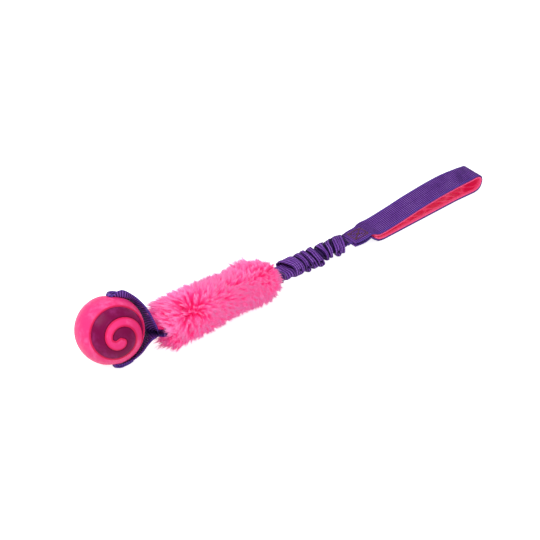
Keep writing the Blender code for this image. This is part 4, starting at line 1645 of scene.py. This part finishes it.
    def tufts(self, finish: Finishes) -> list[bpy.types.Object]:
        """Makes the locks, split along the sleeve over several pieces.

        Args:
            finish: the finishes by slot.

        Returns:
            The pieces.
        """
        rng = np.random.default_rng(self.seed)
        sides, faces = self.side_locks(rng), self.face_locks(rng)
        lock = {key: np.concatenate((sides[key], faces[key])) for key in sides}
        tint = rng.random(len(lock["x"]))
        around = sides["foot"].max()
        made = []
        for index, group in enumerate(np.array_split(np.argsort(lock["x"], kind="stable"), self.pieces)):
            own = {key: values[group][:, None] for key, values in lock.items()}
            shape = (len(group), self.strands)
            spread = rng.standard_normal((*shape, 2)) * self.strand_spread
            turned = spread[..., 1] / around
            strand = {
                "x": own["x"] + spread[..., 0],
                "turn": own["turn"] + turned,
                "tip_turn": own["turn"] + own["comb"] + 0.16 * turned,
                "foot": np.repeat(own["foot"], self.strands, 1),
                "tip": own["tip"] - 3.0 * MM * rng.random(shape) ** 2,
                "lean": own["lean"] - 0.062 * spread[..., 0] / MM + 0.04 * rng.standard_normal(shape),
                "drop": np.repeat(own["drop"], self.strands, 1),
                "bow": (1.1 * rng.standard_normal((len(group), 1)) + 0.25 * rng.standard_normal(shape)) * MM,
            }
            made.append(self.tuft_piece(f"pile_locks_{index + 1}", strand, tint[group], finish))
        return made

    def tuft_piece(
        self, name: str, strand: dict[str, np.ndarray], tint: np.ndarray, finish: Finishes
    ) -> bpy.types.Object:
        """Makes one piece of the pile.

        Args:
            name: the piece's name.
            strand: each strand's numbers by lock and strand: where it starts along and round the sleeve,
                where its tip is round the sleeve, how far out its foot and tip are, its lean, its bow and how
                far its foot drops towards the mouth.
            tint: how pale each lock is.
            finish: the finishes by slot.

        Returns:
            The piece.
        """
        s = {key: value.reshape(-1, 1) for key, value in strand.items()}
        root_y, root_z = self.centre(np.clip(s["x"], self.start, self.end))
        template = bmesh.new()
        bmesh.ops.create_cone(template, cap_ends=True, segments=3, radius1=1.0, radius2=0.0, depth=1)
        bmesh.ops.remove_doubles(template, verts=template.verts, dist=TIP_MERGE)
        bmesh.ops.subdivide_edges(template, edges=uprights(template), cuts=2)
        template.verts.ensure_lookup_table()
        heights = np.array([v.co.z + 0.5 for v in template.verts])

        def place(u: np.ndarray, ring: np.ndarray) -> np.ndarray:
            """Bends the template's corners along each strand.

            Args:
                u: each corner's share of the template's height.
                ring: each corner's place round the template's middle.

            Returns:
                The corners' places, by strand and corner.
            """
            t = u[None]
            turn = s["turn"] + (s["tip_turn"] - s["turn"]) * t**1.3
            span = s["tip"] - s["foot"]
            out = s["foot"] + span * (t * (1.12 - 0.12 * t))
            x = s["x"] + span * s["lean"] * (0.45 * t + 0.55 * t * t) + s["bow"] * np.sin(math.pi * t)
            y = root_y + out * np.cos(turn) + 0.6 * s["drop"] * t * t
            z = root_z - s["drop"] * (1 - t) + out * np.sin(turn)
            z = np.maximum(z, self.floor + 0.6 * MM * (1 - t))
            girth = self.girth * np.sqrt(1.0 - 0.9 * t**1.8)[..., None]
            across = np.stack((np.zeros_like(turn), -np.sin(turn), np.cos(turn)), axis=-1)
            along = np.array((1.0, 0, 0))
            way = ring / np.maximum(np.hypot(ring[:, 0], ring[:, 1]), TINY)[:, None]
            round_strand = along * way[None, :, :1] + across * way[None, :, 1:2]
            return np.stack((x, y, z), axis=-1) + girth * round_strand

        count = s["x"].size
        mesh = swarm(name, template, count, place)
        paint(mesh, "along", np.tile(heights, count))
        paint(mesh, "tint", np.repeat(np.repeat(tint, self.strands), len(heights)))
        return dress(mesh, name, Slot.PINK_PILE, finish, "sleeve")

    def build(self, finish: Finishes) -> list[bpy.types.Object]:
        """Makes the whole sleeve."""
        return [self.backing(finish), self.undercoat(finish), *self.tufts(finish)]


# Bungee


@dataclass
class Bungee:
    """The ruched cover over its elastic, a flat root in the sleeve and a flat end in the handle.

    Its tables are in millimetres and degrees. A fold is listed by its left and its right edge along the
    bungee at each of the turns, and by its height at each of the quarters. A curl is listed by its fold,
    its turn, how far it reaches along and round the bungee, and its depth.
    """

    places: Places
    weave: Weave = field(default_factory=lambda: Weave(3.1 * MM, 2.4 * MM, 0.28 * MM))
    half_width: float = 8.6
    half_height: float = 4.4
    tail_half_width: float = 7.6
    tail_half_height: float = 2.4
    columns: int = 120
    step: float = 0.33
    turns: Row = (34, 64, 94, 124, 154, 184, 214, 304)
    quarters: Row = (34, 124, 214, 304)
    root: Row = (-1.0, -2.4, -2.6, -2.2, -0.4, 2.4, 3.4, -1.0)
    folds: tuple[tuple[Row, Row, Row], ...] = (
        (
            (8.5, 9.0, 11.0, 13.5, 14.0, 14.5, 17.0, 12.0),
            (29.3, 27.5, 27.0, 27.2, 27.7, 28.2, 30.5, 30.0),
            (3.2, 4.5, 4.6, 4.0),
        ),
        (
            (31.2, 30.2, 29.8, 29.7, 29.6, 29.8, 31.9, 31.5),
            (39.8, 36.8, 34.8, 34.2, 34.2, 35.5, 38.2, 39.0),
            (2.9, 3.8, 6.0, 3.6),
        ),
        (
            (40.9, 38.3, 37.0, 36.6, 36.8, 37.9, 40.6, 40.7),
            (47.4, 44.3, 42.1, 41.6, 42.9, 45.5, 48.2, 47.8),
            (2.9, 3.9, 5.8, 3.6),
        ),
        (
            (49.5, 46.5, 45.0, 44.2, 44.4, 46.0, 48.7, 49.1),
            (57.5, 54.3, 52.0, 51.2, 51.8, 54.6, 57.8, 57.6),
            (2.6, 4.0, 7.4, 3.6),
        ),
        (
            (61.5, 58.9, 57.7, 57.9, 58.5, 59.4, 61.8, 61.5),
            (74.5, 69.8, 64.5, 62.0, 62.3, 62.8, 64.9, 70.0),
            (1.7, 3.9, 3.9, 3.4),
        ),
        (
            (77.0, 71.5, 67.5, 65.2, 64.2, 64.2, 66.2, 71.5),
            (85.5, 80.0, 73.5, 70.5, 68.8, 68.3, 70.8, 78.0),
            (1.3, 3.3, 3.6, 3.2),
        ),
        (
            (88.0, 82.0, 77.0, 73.9, 72.7, 72.3, 74.3, 81.0),
            (94.5, 89.6, 85.2, 81.9, 80.1, 79.5, 81.4, 88.1),
            (1.9, 3.7, 5.4, 3.2),
        ),
        (
            (94.9, 90.2, 85.8, 82.5, 80.7, 80.1, 82.0, 88.7),
            (100.0, 96.0, 92.0, 88.6, 86.2, 85.4, 87.1, 94.0),
            (1.6, 3.5, 4.9, 3.0),
        ),
    )
    end: Row = (101.0, 100.0, 97.5, 99.5)
    slit: float = 0.45
    crease: int = 7
    # how strong the painted shade in the cover's valleys is
    painted_shade: float = 0.88
    curls: tuple[Row, ...] = (
        (0, 174, 1.7, 10, 3.2),
        (1, 184, 1.6, 12, 4.2),
        (2, 174, 1.6, 12, 4.0),
        (3, 190, 2.4, 14, 6.0),
        (6, 181, 2.0, 11, 4.0),
    )
    girth: float = 56 * MM
    elastic_width: float = 12 * MM
    elastic_thickness: float = 2.2 * MM

    def round_turn(self, values: Row, angles: np.ndarray) -> np.ndarray:
        """Turns numbers listed at a few turns into a smooth ring.

        Args:
            values: a number for each of the turns, or for each of the quarters.
            angles: the angles round the ring in degrees.

        Returns:
            The number at each angle.
        """
        turns = self.quarters if len(values) == len(self.quarters) else self.turns
        fine = np.arange(0.0, 360.0, 2.0)
        ring = np.interp(fine, turns, values, period=360)
        kernel = np.hanning(15)
        ring = np.convolve(np.concatenate((ring[-7:], ring, ring[:7])), kernel / kernel.sum(), mode="valid")
        return np.interp(angles, fine, ring, period=360)

    def knots(self, angles: np.ndarray) -> np.ndarray:
        """Lists the knots of the cover's outline.

        Args:
            angles: the angles round the cover in degrees.

        Returns:
            Where each knot is along the bungee and how proud it is, by angle and knot.
        """

        def flat(value: float) -> np.ndarray:
            """The same number at every angle."""
            return np.full(len(angles), value)

        low = self.round_turn(self.root, angles)
        made = [(flat(-3.5), flat(-1.0)), (flat(0.0), low * 0.7), (flat(4.5), low), (flat(9.0), low * 1.02)]
        for index, (left, right, heights) in enumerate(self.folds):
            a, b, high = (self.round_turn(values, angles) for values in (left, right, heights))
            a = a + self.slit * (0 < index < self.crease)
            b = b - self.slit * (index < self.crease - 1)
            wide = b - a
            start = flat(1.6 if index == self.crease else -0.4)
            stop = flat(1.6 if index == self.crease - 1 else -0.4 + 0.6 * (index == self.crease))
            if index == 0:
                made += [
                    (a + 0.40 * wide, low),
                    (a + 0.64 * wide, low + 0.3),
                    (a + 0.70 * wide, low * 0.5 + high * 0.3),
                    (a + 0.56 * wide, high * 0.62),
                    (a + 0.06 * wide, high * 0.68),
                    (a - 0.01 * wide, high * 0.80),
                    (a + 0.04 * wide, high * 0.93),
                ]
            else:
                made += [
                    (a + 0.24 * wide, start),
                    (a + 0.02 * wide, np.maximum(high * 0.42, start)),
                    (a + 0.04 * wide, high * 0.74),
                ]
            made += [
                (a + 0.30 * wide, high),
                (b - 0.30 * wide, high * 1.01),
                (b - 0.03 * wide, high * 0.74),
                (b - 0.02 * wide, np.maximum(high * 0.42, stop)),
                (b - 0.26 * wide, stop),
            ]
        end = self.round_turn(self.end, angles)
        made += [(end - 1.5, flat(-0.9)), (end, flat(-2.4))]
        return np.array(made).transpose(2, 0, 1)

    def outline(self, angles: np.ndarray) -> tuple[np.ndarray, np.ndarray]:
        """Draws the cover's outline at each angle.

        Args:
            angles: the angles round the cover in degrees.

        Returns:
            The outline by station and angle, and the run along it, in millimetres.
        """
        lines = np.stack([spline([tuple(row) for row in rows], 2, 8) for rows in self.knots(angles)], axis=1)
        steps = np.linalg.norm(np.diff(lines, axis=0), axis=2).mean(axis=1)
        run = np.concatenate(([0.0], np.cumsum(steps)))
        at = np.linspace(0, run[-1], int(run[-1] / self.step))
        even = np.empty((len(at), *lines.shape[1:]))
        for column in range(lines.shape[1]):
            for k in range(2):
                even[:, column, k] = np.interp(at, run, lines[:, column, k])
        return even, at

    def curled(
        self, along: np.ndarray, proud: np.ndarray, angles: np.ndarray
    ) -> tuple[np.ndarray, np.ndarray]:
        """Presses in the folds' curled edges, and paints shade in their hollows.

        Args:
            along: places along the bungee by station and angle, in millimetres.
            proud: how proud the cover is there.
            angles: the angles round the cover in degrees.

        Returns:
            How proud it is with its curls, and how much shade is painted in their hollows.
        """
        curl_shade = np.zeros_like(proud)
        for index, degrees, reach, spread, depth in self.curls:
            left, right, _ = self.folds[int(index)]
            middle = (self.round_turn(left, angles) + self.round_turn(right, angles)) / 2
            here = bell(along, middle, reach) * bell(angles, degrees, spread)
            here = here * smooth((proud - 1.5) / 1.5)
            proud = proud - depth * here
            # painted shade in the curl's hollow
            curl_shade = np.maximum(curl_shade, 0.85 * smooth((here - 0.25) / 0.45))
        return proud, curl_shade

    def cover(self, finish: Finishes) -> bpy.types.Object:
        """Makes the ruched tube.

        Args:
            finish: the finishes by slot.

        Returns:
            The piece.
        """
        angles = np.linspace(0, 360, self.columns, endpoint=False)
        line, run = self.outline(angles)
        along, proud = line[..., 0], line[..., 1]
        turn = np.radians(angles)[None]
        cos, sin = np.cos(turn), np.sin(turn)
        proud = proud + 0.22 * np.sin(3 * turn + along * 0.45) + 0.18 * np.sin(5 * turn - along * 0.7)
        proud, curl_shade = self.curled(along, proud, angles)
        rib = 0.5 * self.weave.depth / MM * np.cos(2 * math.pi * run * MM / self.weave.pitch)
        proud = proud + rib[:, None]
        tail = smooth((along - 90) / 9)
        half_width = self.half_width + (self.tail_half_width - self.half_width) * tail
        half_height = self.half_height + (self.tail_half_height - self.half_height) * tail
        y = half_width * np.copysign(np.abs(cos) ** 0.9, cos) + proud * cos
        z = half_height * np.copysign(np.abs(sin) ** 0.9, sin) + proud * sin
        points = from_axes(np.stack((along, y, z), axis=-1) * MM, self.places.bungee_axes())
        uv = np.stack(np.meshgrid(np.linspace(0, self.girth, self.columns + 1), run * MM), axis=-1)
        # painted shade: the valleys between the folds darken where the cover sinks, and the curls' hollows
        # too
        deep = smooth((2.4 - proud) / 2.4) * smooth((along - 12) / 6) * smooth((99 - along) / 3)
        mesh = tube_mesh("ruched_cover", points, uv, {"shade": np.maximum(self.painted_shade * deep, curl_shade)})
        self.weave.lay(mesh, 0.1)
        bend = self.places.stretch()
        return dress(mesh, "ruched_cover", Slot.PURPLE_WEBBING, finish, bend, "bungee_sleeve")

    def ribbon(self, rows: list[Row], thickness: float, step: float, columns: int) -> Ribbon:
        """Lays a strip that is level across the bungee.

        Args:
            rows: its middle line's places, each with its width there.
            thickness: its thickness.
            step: the distance between two stations.
            columns: its steps across.

        Returns:
            The strip.
        """
        line, run = even_rows(spline(rows, 3, 20), 3, step)
        across = np.tile((0, 1.0, 0), (len(line), 1))
        return Ribbon(line[:, :3], across, line[:, 3], thickness, run, columns)

    def tabs(self, finish: Finishes) -> list[bpy.types.Object]:
        """Makes the flat root that bends out of the sleeve, and the flat end between the handle's layers.

        Args:
            finish: the finishes by slot.

        Returns:
            The pieces.
        """
        pull = np.array(self.places.pull)
        root, tip = np.array(self.places.bungee), np.array(self.places.handle)
        near = [(*(root + np.array((-4.2, 0, 0)) * MM), 19.0 * MM)]
        near.append((*(root + pull * 1 * MM), 19.0 * MM))
        near.append((*(root + pull * 7 * MM), 17.0 * MM))
        far = [(*(tip - pull * 15 * MM), 16.0 * MM)]
        far.append((*(tip - pull * 5 * MM), 17.5 * MM))
        far.append((*(tip + np.array((3, 0, -0.4)) * MM), 18.0 * MM))
        far.append((*(tip + np.array((22, -0.6, -0.8)) * MM), 17.0 * MM))
        replaced = (("bungee_near_tab",), ("bungee_far_tab", "handle_tongue"))
        made = []
        for name, rows, thickness, bodies, hinge, nodes in (
            ("bungee_root", near, 3.2 * MM, ("sleeve", "bungee_near"), root, replaced[0]),
            ("bungee_tongue", far, 1.6 * MM, ("bungee_far", "handle"), tip, replaced[1]),
        ):
            ribbon = self.ribbon(rows, thickness, 0.3 * MM, 18)
            mesh = self.weave.lay(ribbon.skin(name, self.weave.relief), ribbon.widths.max() / 2)
            bend = Bend(*bodies, Vector(hinge - pull * 2 * MM), Vector(hinge + pull * 2 * MM))
            made.append(dress(mesh, name, Slot.PURPLE_WEBBING, finish, bend, *nodes))
        return made

    @staticmethod
    def grooves(run: np.ndarray, lateral: np.ndarray, side: float) -> np.ndarray:
        """How far the elastic's fine grooves stand out, which depends on the place across alone."""
        return 0.1 * MM * np.cos(lateral / (0.7 * MM) * math.pi)

    def elastic(self, finish: Finishes) -> bpy.types.Object:
        """Makes the latex strip inside the cover.

        Args:
            finish: the finishes by slot.

        Returns:
            The piece.
        """
        pull = np.array(self.places.pull)
        root, tip = np.array(self.places.bungee), np.array(self.places.handle)
        rows = [(*end, self.elastic_width) for end in (root + pull * 9.5 * MM, tip - pull * 10.3 * MM)]
        mesh = self.ribbon(rows, self.elastic_thickness, 1.0 * MM, 10).skin("elastic_strip", self.grooves)
        paint(mesh, "crease", np.zeros(len(mesh.vertices)))
        return dress(mesh, "elastic_strip", Slot.LATEX, finish, self.places.stretch(), "bungee_elastic")

    def build(self, finish: Finishes) -> list[bpy.types.Object]:
        """Makes the whole bungee."""
        return [self.cover(finish), *self.tabs(finish), self.elastic(finish)]


# Handle


@dataclass
class HandLoop:
    """The lined webbing loop, sewn on itself with a box and a cross."""

    places: Places
    weave: Weave = field(default_factory=lambda: Weave(2.3 * MM, 2.3 * MM, 0.12 * MM))
    length: float = 196.3 * MM
    yaw: float = math.radians(-1.6)
    base: float = 24.0 * MM
    base_width: float = 21.2 * MM
    base_shift: float = 3.2 * MM
    tip_shift: float = 1.8 * MM
    tip_reach: float = 45.0 * MM
    width: float = 25.0 * MM
    thickness: float = 1.6 * MM
    tongue: float = 1.6 * MM
    gap: float = 0.3 * MM
    spread: float = 46.0 * MM
    height: float = 22.0 * MM
    roll: float = math.radians(14)
    lining_start: float = 28.0 * MM
    lining_proud: float = 0.9 * MM
    lining_thickness: float = 1.2 * MM
    hem: float = 2.9 * MM
    hem_pitch: float = 3.0 * MM
    hem_stitch: float = 2.35 * MM
    hem_thread: float = 0.22 * MM
    box_start: float = 4.5 * MM
    box_length: float = 18.0 * MM
    box_width: float = 12.5 * MM
    box_pitch: float = 2.6 * MM
    box_share: float = 0.82
    box_twin: float = 0.28 * MM
    box_thread: float = 0.46 * MM
    thread_rise: float = 0.12 * MM

    def rows(self) -> list[Row]:
        """Lists the loop's rows, lower strand first.

        Returns:
            Rows of x, height over the ground, width and roll.
        """
        base, width = self.places.handle.z, self.width
        layer = self.tongue / 2 + self.gap + self.thickness / 2
        flat, tip = self.thickness / 2 + self.weave.depth, self.length - self.thickness / 2
        top = self.height - flat
        start = self.tongue / 2
        lower = [
            (start, base - layer, self.base_width, 0),
            (self.base * 0.5, base - layer, self.base_width + 3 * MM, 0),
            (self.base - MM, base - layer, width - 2 * MM, 0),
            (self.spread - 16 * MM, base * 0.52, width, 0),
            (self.spread - 8 * MM, base * 0.15, width, 0),
            (self.spread, flat, width, 0),
            (self.spread + 6 * MM, flat, width, 0),
            (self.length * 0.55, flat, width, 0),
            (tip - 24 * MM, flat, width, 0),
            (tip - 13 * MM, flat, width, 0),
            (tip - 7 * MM, flat + 1.0 * MM, width, 0.05),
            (tip - 2.2 * MM, top * 0.25, width, 0.1),
            (tip, top * 0.60, width, 0.2),
        ]
        upper = [
            (tip - 2.4 * MM, top * 0.88, width, 0.3),
            (tip - 8 * MM, top * 0.99, width, 0.25),
            (tip - 20 * MM, top, width, 0.6),
            (self.length * 0.73, top * 0.99, width, 1),
            (self.length * 0.50, top * 0.86, width, 1),
            (self.length * 0.33, top * 0.68, width, 1),
            (self.base + 16 * MM, top * 0.60, width, 0.9),
            (self.base + 5 * MM, base + layer * 0.6, width - MM, 0.4),
            (self.base - MM, base + layer, width - 2 * MM, 0),
            (self.base * 0.5, base + layer, self.base_width + 3 * MM, 0),
            (start, base + layer, self.base_width, 0),
        ]
        return lower + upper

    def stations(self, step: float) -> tuple[np.ndarray, np.ndarray, np.ndarray, np.ndarray]:
        """Lists stations round the loop.

        Args:
            step: the distance between two stations.

        Returns:
            Centres and directions across in the handle's own axes, the widths, and the run.
        """
        line, run = even_rows(spline(self.rows(), 2, 20), 2, step)
        centres = np.stack((line[:, 0], np.zeros(len(line)), line[:, 1] - self.places.handle.z), axis=1)
        lean = self.roll * line[:, 3]
        across = np.stack((np.zeros(len(line)), np.cos(lean), np.sin(lean)), axis=1)
        return centres, across, line[:, 2], run

    def axes(self) -> Matrix:
        """The handle's axes: X along the loop, from its hinge."""
        return Matrix.Translation(self.places.handle) @ Matrix.Rotation(self.yaw, 4, "Z")

    def strip(
        self, inward: float, sideways: float, thickness: float, step: float, columns: int, lined: bool
    ) -> Ribbon:
        """Lays a strip along the loop.

        Args:
            inward: how far it lies towards the loop's inside.
            sideways: how far it lies towards the loop's far side.
            thickness: its thickness.
            step: the distance between two stations.
            columns: its steps across.
            lined: whether it covers only the lined part of the loop.

        Returns:
            The strip, with its places in the frame.
        """
        values = self.stations(step)
        if lined:
            keep = values[0][:, 0] >= self.lining_start
            values = tuple(numbers[keep] for numbers in values)
        centres, across, widths, run = values
        made = Ribbon(centres, across, widths, thickness, run, columns)
        side, out = made.frames()
        x = centres[:, :1]
        offset = sideways - self.base_shift * (1 - smooth((x - self.base / 2) / self.base))
        offset = offset - self.tip_shift * smooth((x - self.length + self.tip_reach) / self.tip_reach)
        made.centres = from_axes(centres + out * inward + side * offset, self.axes())
        made.across = side @ np.array(self.axes().to_3x3()).T
        return made

    def lining_relief(self, run: np.ndarray, lateral: np.ndarray, side: float) -> np.ndarray:
        """Works out the lining's hems and wrinkles, which are on its inner face.

        Args:
            run: distances along the lining.
            lateral: distances across it from its middle.
            side: the face, 1 for the inner one and -1 for the outer one.

        Returns:
            How far the face stands out at each place.
        """
        if side < 0:
            return np.zeros_like(run)
        edge = np.abs(lateral) / (self.width / 2)
        hem = smooth((edge - 0.70) / 0.06) * (1 - smooth((edge - 0.97) / 0.03))
        middle = 1 - smooth((edge - 0.62) / 0.1)
        a = np.sin(run / (2.9 * MM) + lateral / (2.2 * MM) + 1.3 * np.sin(run / (13 * MM)))
        b = np.sin(run / (4.7 * MM) - lateral / (3.0 * MM) + 0.8 * np.sin(run / (9 * MM)))
        wrinkles = np.maximum(a, 0) ** 2 * 0.8 + np.maximum(b, 0) ** 2 * 0.6
        return (0.35 * hem - 0.22 * bell(edge, 0.76, 0.02) + middle * (0.42 * wrinkles - 0.2)) * MM

    def build(self, finish: Finishes) -> list[bpy.types.Object]:
        """Makes the webbing, its lining and all the stitching.

        Args:
            finish: the finishes by slot.

        Returns:
            The pieces.
        """
        ribbon = self.strip(0, 0, self.thickness, 0.29 * MM, 22, False)
        mesh = self.weave.lay(ribbon.skin("loop_webbing", self.weave.relief), self.width / 2)
        webbing = dress(mesh, "loop_webbing", Slot.PURPLE_WEBBING, finish, "handle", "handle_webbing")
        return [webbing, self.lining(webbing, finish), *self.hem_stitches(finish), *self.box_stitches(finish)]

    def lining(self, webbing: bpy.types.Object, finish: Finishes) -> bpy.types.Object:
        """Makes the lining, which is held stretched on the webbing.

        Args:
            webbing: the webbing's piece, which is not used.
            finish: the finishes by slot.

        Returns:
            The piece.
        """
        inward = self.thickness / 2 + self.gap + self.lining_thickness / 2
        ribbon = self.strip(inward, 0, self.lining_thickness, 0.5 * MM, 60, True)
        past_tip = ribbon.run - ribbon.run[np.argmax(ribbon.centres[:, 0])]
        ribbon.widths = ribbon.widths + self.lining_proud * (2 * smooth(past_tip / (20 * MM) + 0.7) - 1)
        mesh = ribbon.skin("loop_lining", self.lining_relief)
        self.paint_crease_shade(mesh)
        lining = dress(mesh, "loop_lining", Slot.PINK_LINING, finish, "handle", "handle_lining")
        return lining

    def paint_crease_shade(self, mesh: bpy.types.Mesh) -> None:
        """Paints shade across the lining's field but not on its hems, deepest in its creases and least on its
        wrinkles' tops.

        Args:
            mesh: the lining.
        """
        places = np.zeros((len(mesh.vertices), 2))
        places[corner_vertices(mesh)] = weave_map(mesh)
        lateral, run = places.T
        deep = 1 - smooth((np.abs(lateral) / (self.width / 2) - 0.66) / 0.08)
        relief = self.lining_relief(run, lateral, 1.0) / MM
        # painted shade, deepest in the wrinkles' troughs and least on their tops
        paint(mesh, "crease", np.clip(deep * (0.62 - 1.9 * relief), 0, 1))

    def hem_stitches(self, finish: Finishes) -> list[bpy.types.Object]:
        """Makes the rows of stitches along the lining's two hems.

        Args:
            finish: the finishes by slot.

        Returns:
            The pieces.
        """
        inward = self.thickness / 2 + self.gap + self.lining_thickness + self.thread_rise
        made = []
        for node, side in (("handle_edge_stitch_near", -1), ("handle_edge_stitch_far", 1)):
            row = self.strip(inward, side * (self.width / 2 - self.hem), 1 * MM, 0.25 * MM, 4, True)
            _, out = row.frames()
            at = row.run - row.run[0]

            def along(place: float, values: np.ndarray) -> np.ndarray:
                """The row's values this far along it."""
                return np.array([np.interp(place, at, values[:, k]) for k in range(3)])

            seams = []
            for start in np.arange(3 * MM, at[-1] - 5 * MM, self.hem_pitch):
                ends = along(start, row.centres), along(start + self.hem_stitch, row.centres)
                seams.append((*ends, unit(along(start, out))))
            mesh = stitch_bed(node + "_thread", seams, self.hem_thread)
            made.append(dress(mesh, node + "_thread", Slot.PINK_THREAD, finish, "handle", node))
        return made

    def box_stitches(self, finish: Finishes) -> list[bpy.types.Object]:
        """Makes the sewn box with its cross, on both outsides of the base.

        Args:
            finish: the finishes by slot.

        Returns:
            The pieces.
        """
        near, far = (way * self.box_width / 2 - self.base_shift for way in (-1, 1))
        first, last = self.box_start, self.box_start + self.box_length
        lines = [
            ((first, near), (last, near)),
            ((last, near), (last, far)),
            ((last, far), (first, far)),
            ((first, far), (first, near)),
            ((first, near), (last, far)),
            ((last, near), (first, far)),
        ]
        lift = self.tongue / 2 + self.gap + self.thickness + self.thread_rise
        made = []
        for node, side in (("handle_box_stitch_top", 1), ("handle_box_stitch_bottom", -1)):
            out = np.array((0, 0, float(side)))
            seams = []
            for line in lines:
                a, b = (np.array((*end, side * lift)) for end in line)
                count = max(int(round(np.linalg.norm(b - a) / self.box_pitch)), 1)
                sideways = np.cross((0, 0, 1), unit(b - a)) * self.box_twin
                for i in range(count):
                    shares = ((i + (1 + way * self.box_share) / 2) / count for way in (-1, 1))
                    ends = [a + (b - a) * share for share in shares]
                    for way in (-1, 1):
                        seams.append((*(from_axes(end + sideways * way, self.axes()) for end in ends), out))
            mesh = stitch_bed(node + "_thread", seams, self.box_thread)
            made.append(dress(mesh, node + "_thread", Slot.DARK_THREAD, finish, "handle", node))
        return made


# Scene


@dataclass(frozen=True)
class Studio:
    """The camera, the pale floor and soft light."""

    place: Row = (-0.8348, -0.84662, 0.82906)
    right: Row = (0.72537, -0.68835, 0.0)
    up: Row = (0.39482, 0.41606, 0.81915)
    lens: float = 95.0
    sensor: float = 36.0
    clip: tuple[float, float] = (0.05, 20.0)
    daylight: float = 0.62
    floor_size: float = 6.0
    floor_colour: Row = (0.82, 0.82, 0.82, 1)
    floor_glow: float = 0.8
    aim: Row = (0, 0, 0.02)
    key: tuple[Row, float, float] = ((-0.9, 0.25, 1.3), 0.9, 13)
    fill: tuple[Row, float, float] = ((-0.5, -1.3, 0.9), 1.2, 5)

    def camera(self) -> None:
        """Makes the camera at the photograph's viewing angle."""
        data = bpy.data.cameras.new("photo_camera")
        data.lens, data.sensor_width = self.lens, self.sensor
        data.clip_start, data.clip_end = self.clip
        right, up = Vector(self.right).normalized(), Vector(self.up).normalized()
        turn = Matrix((right, up, right.cross(up))).transposed().to_4x4()
        turn.translation = Vector(self.place)
        camera = linked("photo_camera", data)
        camera.matrix_world = turn
        bpy.context.scene.camera = camera

    def show(
        self,
        tree: bpy.types.NodeTree,
        plain: bpy.types.NodeSocket,
        shown: bpy.types.NodeSocket,
        output: bpy.types.NodeSocket,
    ) -> None:
        """Gives an output one shader for the light, and another for camera, gloss and glass.

        Args:
            tree: the nodes.
            plain: the shader for the light.
            shown: the shader for what is seen straight away.
            output: the socket that takes them.
        """
        path = tree.nodes.new("ShaderNodeLightPath")
        share = path.outputs["Is Camera Ray"]
        for name in ("Is Glossy Ray", "Is Transmission Ray"):
            larger = tree.nodes.new("ShaderNodeMath")
            larger.operation = "MAXIMUM"
            tree.links.new(share, larger.inputs[0])
            tree.links.new(path.outputs[name], larger.inputs[1])
            share = larger.outputs[0]
        mix = tree.nodes.new("ShaderNodeMixShader")
        for socket, source in zip(mix.inputs, (share, plain, shown)):
            tree.links.new(source, socket)
        tree.links.new(mix.outputs[0], output)

    def world(self) -> None:
        """Makes the world white to the eye, and a plain soft light on the object."""
        world = bpy.data.worlds.new("studio")
        world.use_nodes = True
        tree = world.node_tree
        tree.nodes.clear()
        output = tree.nodes.new("ShaderNodeOutputWorld")
        shaders = []
        for strength in (self.daylight, 1.0):
            node = tree.nodes.new("ShaderNodeBackground")
            node.inputs["Color"].default_value = (1, 1, 1, 1)
            node.inputs["Strength"].default_value = strength
            shaders.append(node.outputs[0])
        self.show(tree, *shaders, output.inputs[0])
        bpy.context.scene.world = world

    def floor(self) -> None:
        """Makes a pale floor that is white to the eye but keeps the object's shadow."""
        bm = bmesh.new()
        bmesh.ops.create_grid(bm, x_segments=1, y_segments=1, size=self.floor_size)
        mesh = settled(bm, bpy.data.meshes.new("floor"))
        material = bpy.data.materials.new("pale_floor")
        material.use_nodes = True
        tree = material.node_tree
        shader = tree.nodes["Principled BSDF"]
        shader.inputs["Base Color"].default_value = self.floor_colour
        shader.inputs["Roughness"].default_value = 0.9
        shader.inputs["Specular IOR Level"].default_value = 0.0
        glow = tree.nodes.new("ShaderNodeEmission")
        glow.inputs["Strength"].default_value = self.floor_glow
        both = tree.nodes.new("ShaderNodeAddShader")
        for socket, source in zip(both.inputs, (shader, glow)):
            tree.links.new(source.outputs[0], socket)
        self.show(tree, shader.outputs[0], both.outputs[0], tree.nodes["Material Output"].inputs[0])
        mesh.materials.append(material)
        linked("floor", mesh)

    def lamp(self, name: str, place: Row, size: float, power: float) -> None:
        """Makes a square soft lamp that faces the object.

        Args:
            name: the lamp's name.
            place: where it is.
            size: its side.
            power: its power in watts.
        """
        data = bpy.data.lights.new(name, "AREA")
        data.size, data.energy = size, power
        turn = (Vector(self.aim) - Vector(place)).to_track_quat("-Z", "Y")
        linked(name, data).matrix_world = Matrix.Translation(place) @ turn.to_matrix().to_4x4()

    def build(self) -> None:
        """Makes the whole studio."""
        self.camera()
        self.world()
        self.floor()
        self.lamp("key", *self.key)
        self.lamp("fill", *self.fill)
        bpy.context.scene.view_settings.view_transform = "Standard"


def dress_hidden_nodes(finish: Finishes) -> None:
    """Gives the CAD nodes that stay their thread finish.

    Args:
        finish: the finishes by slot.
    """
    tacks = ("neck_bartack", "bungee_near_tack", "bungee_far_tack")
    for name in (*tacks, "sleeve_stitch_ball_end", "sleeve_stitch_bungee_end"):
        node = frame["nodes"][name]
        node.data.materials.clear()
        node.data.materials.append(finish[Slot.PURPLE_THREAD])


def main() -> None:
    """Builds the toy piece by piece, and the studio round it."""
    logging.basicConfig(level=logging.INFO, format="%(name)s %(message)s")
    places = Places.read()
    Studio().build()
    finish = build_finishes()
    dress_hidden_nodes(finish)
    for part in (SwirlBall(places), BallLoop(places), PileSleeve(places), Bungee(places), HandLoop(places)):
        for piece in part.build(finish):
            triangles = sum(len(face.vertices) - 2 for face in piece.data.polygons)
            LOG.info("%s: %d triangles", piece.name, triangles)


if __name__ == "__main__":
    main()
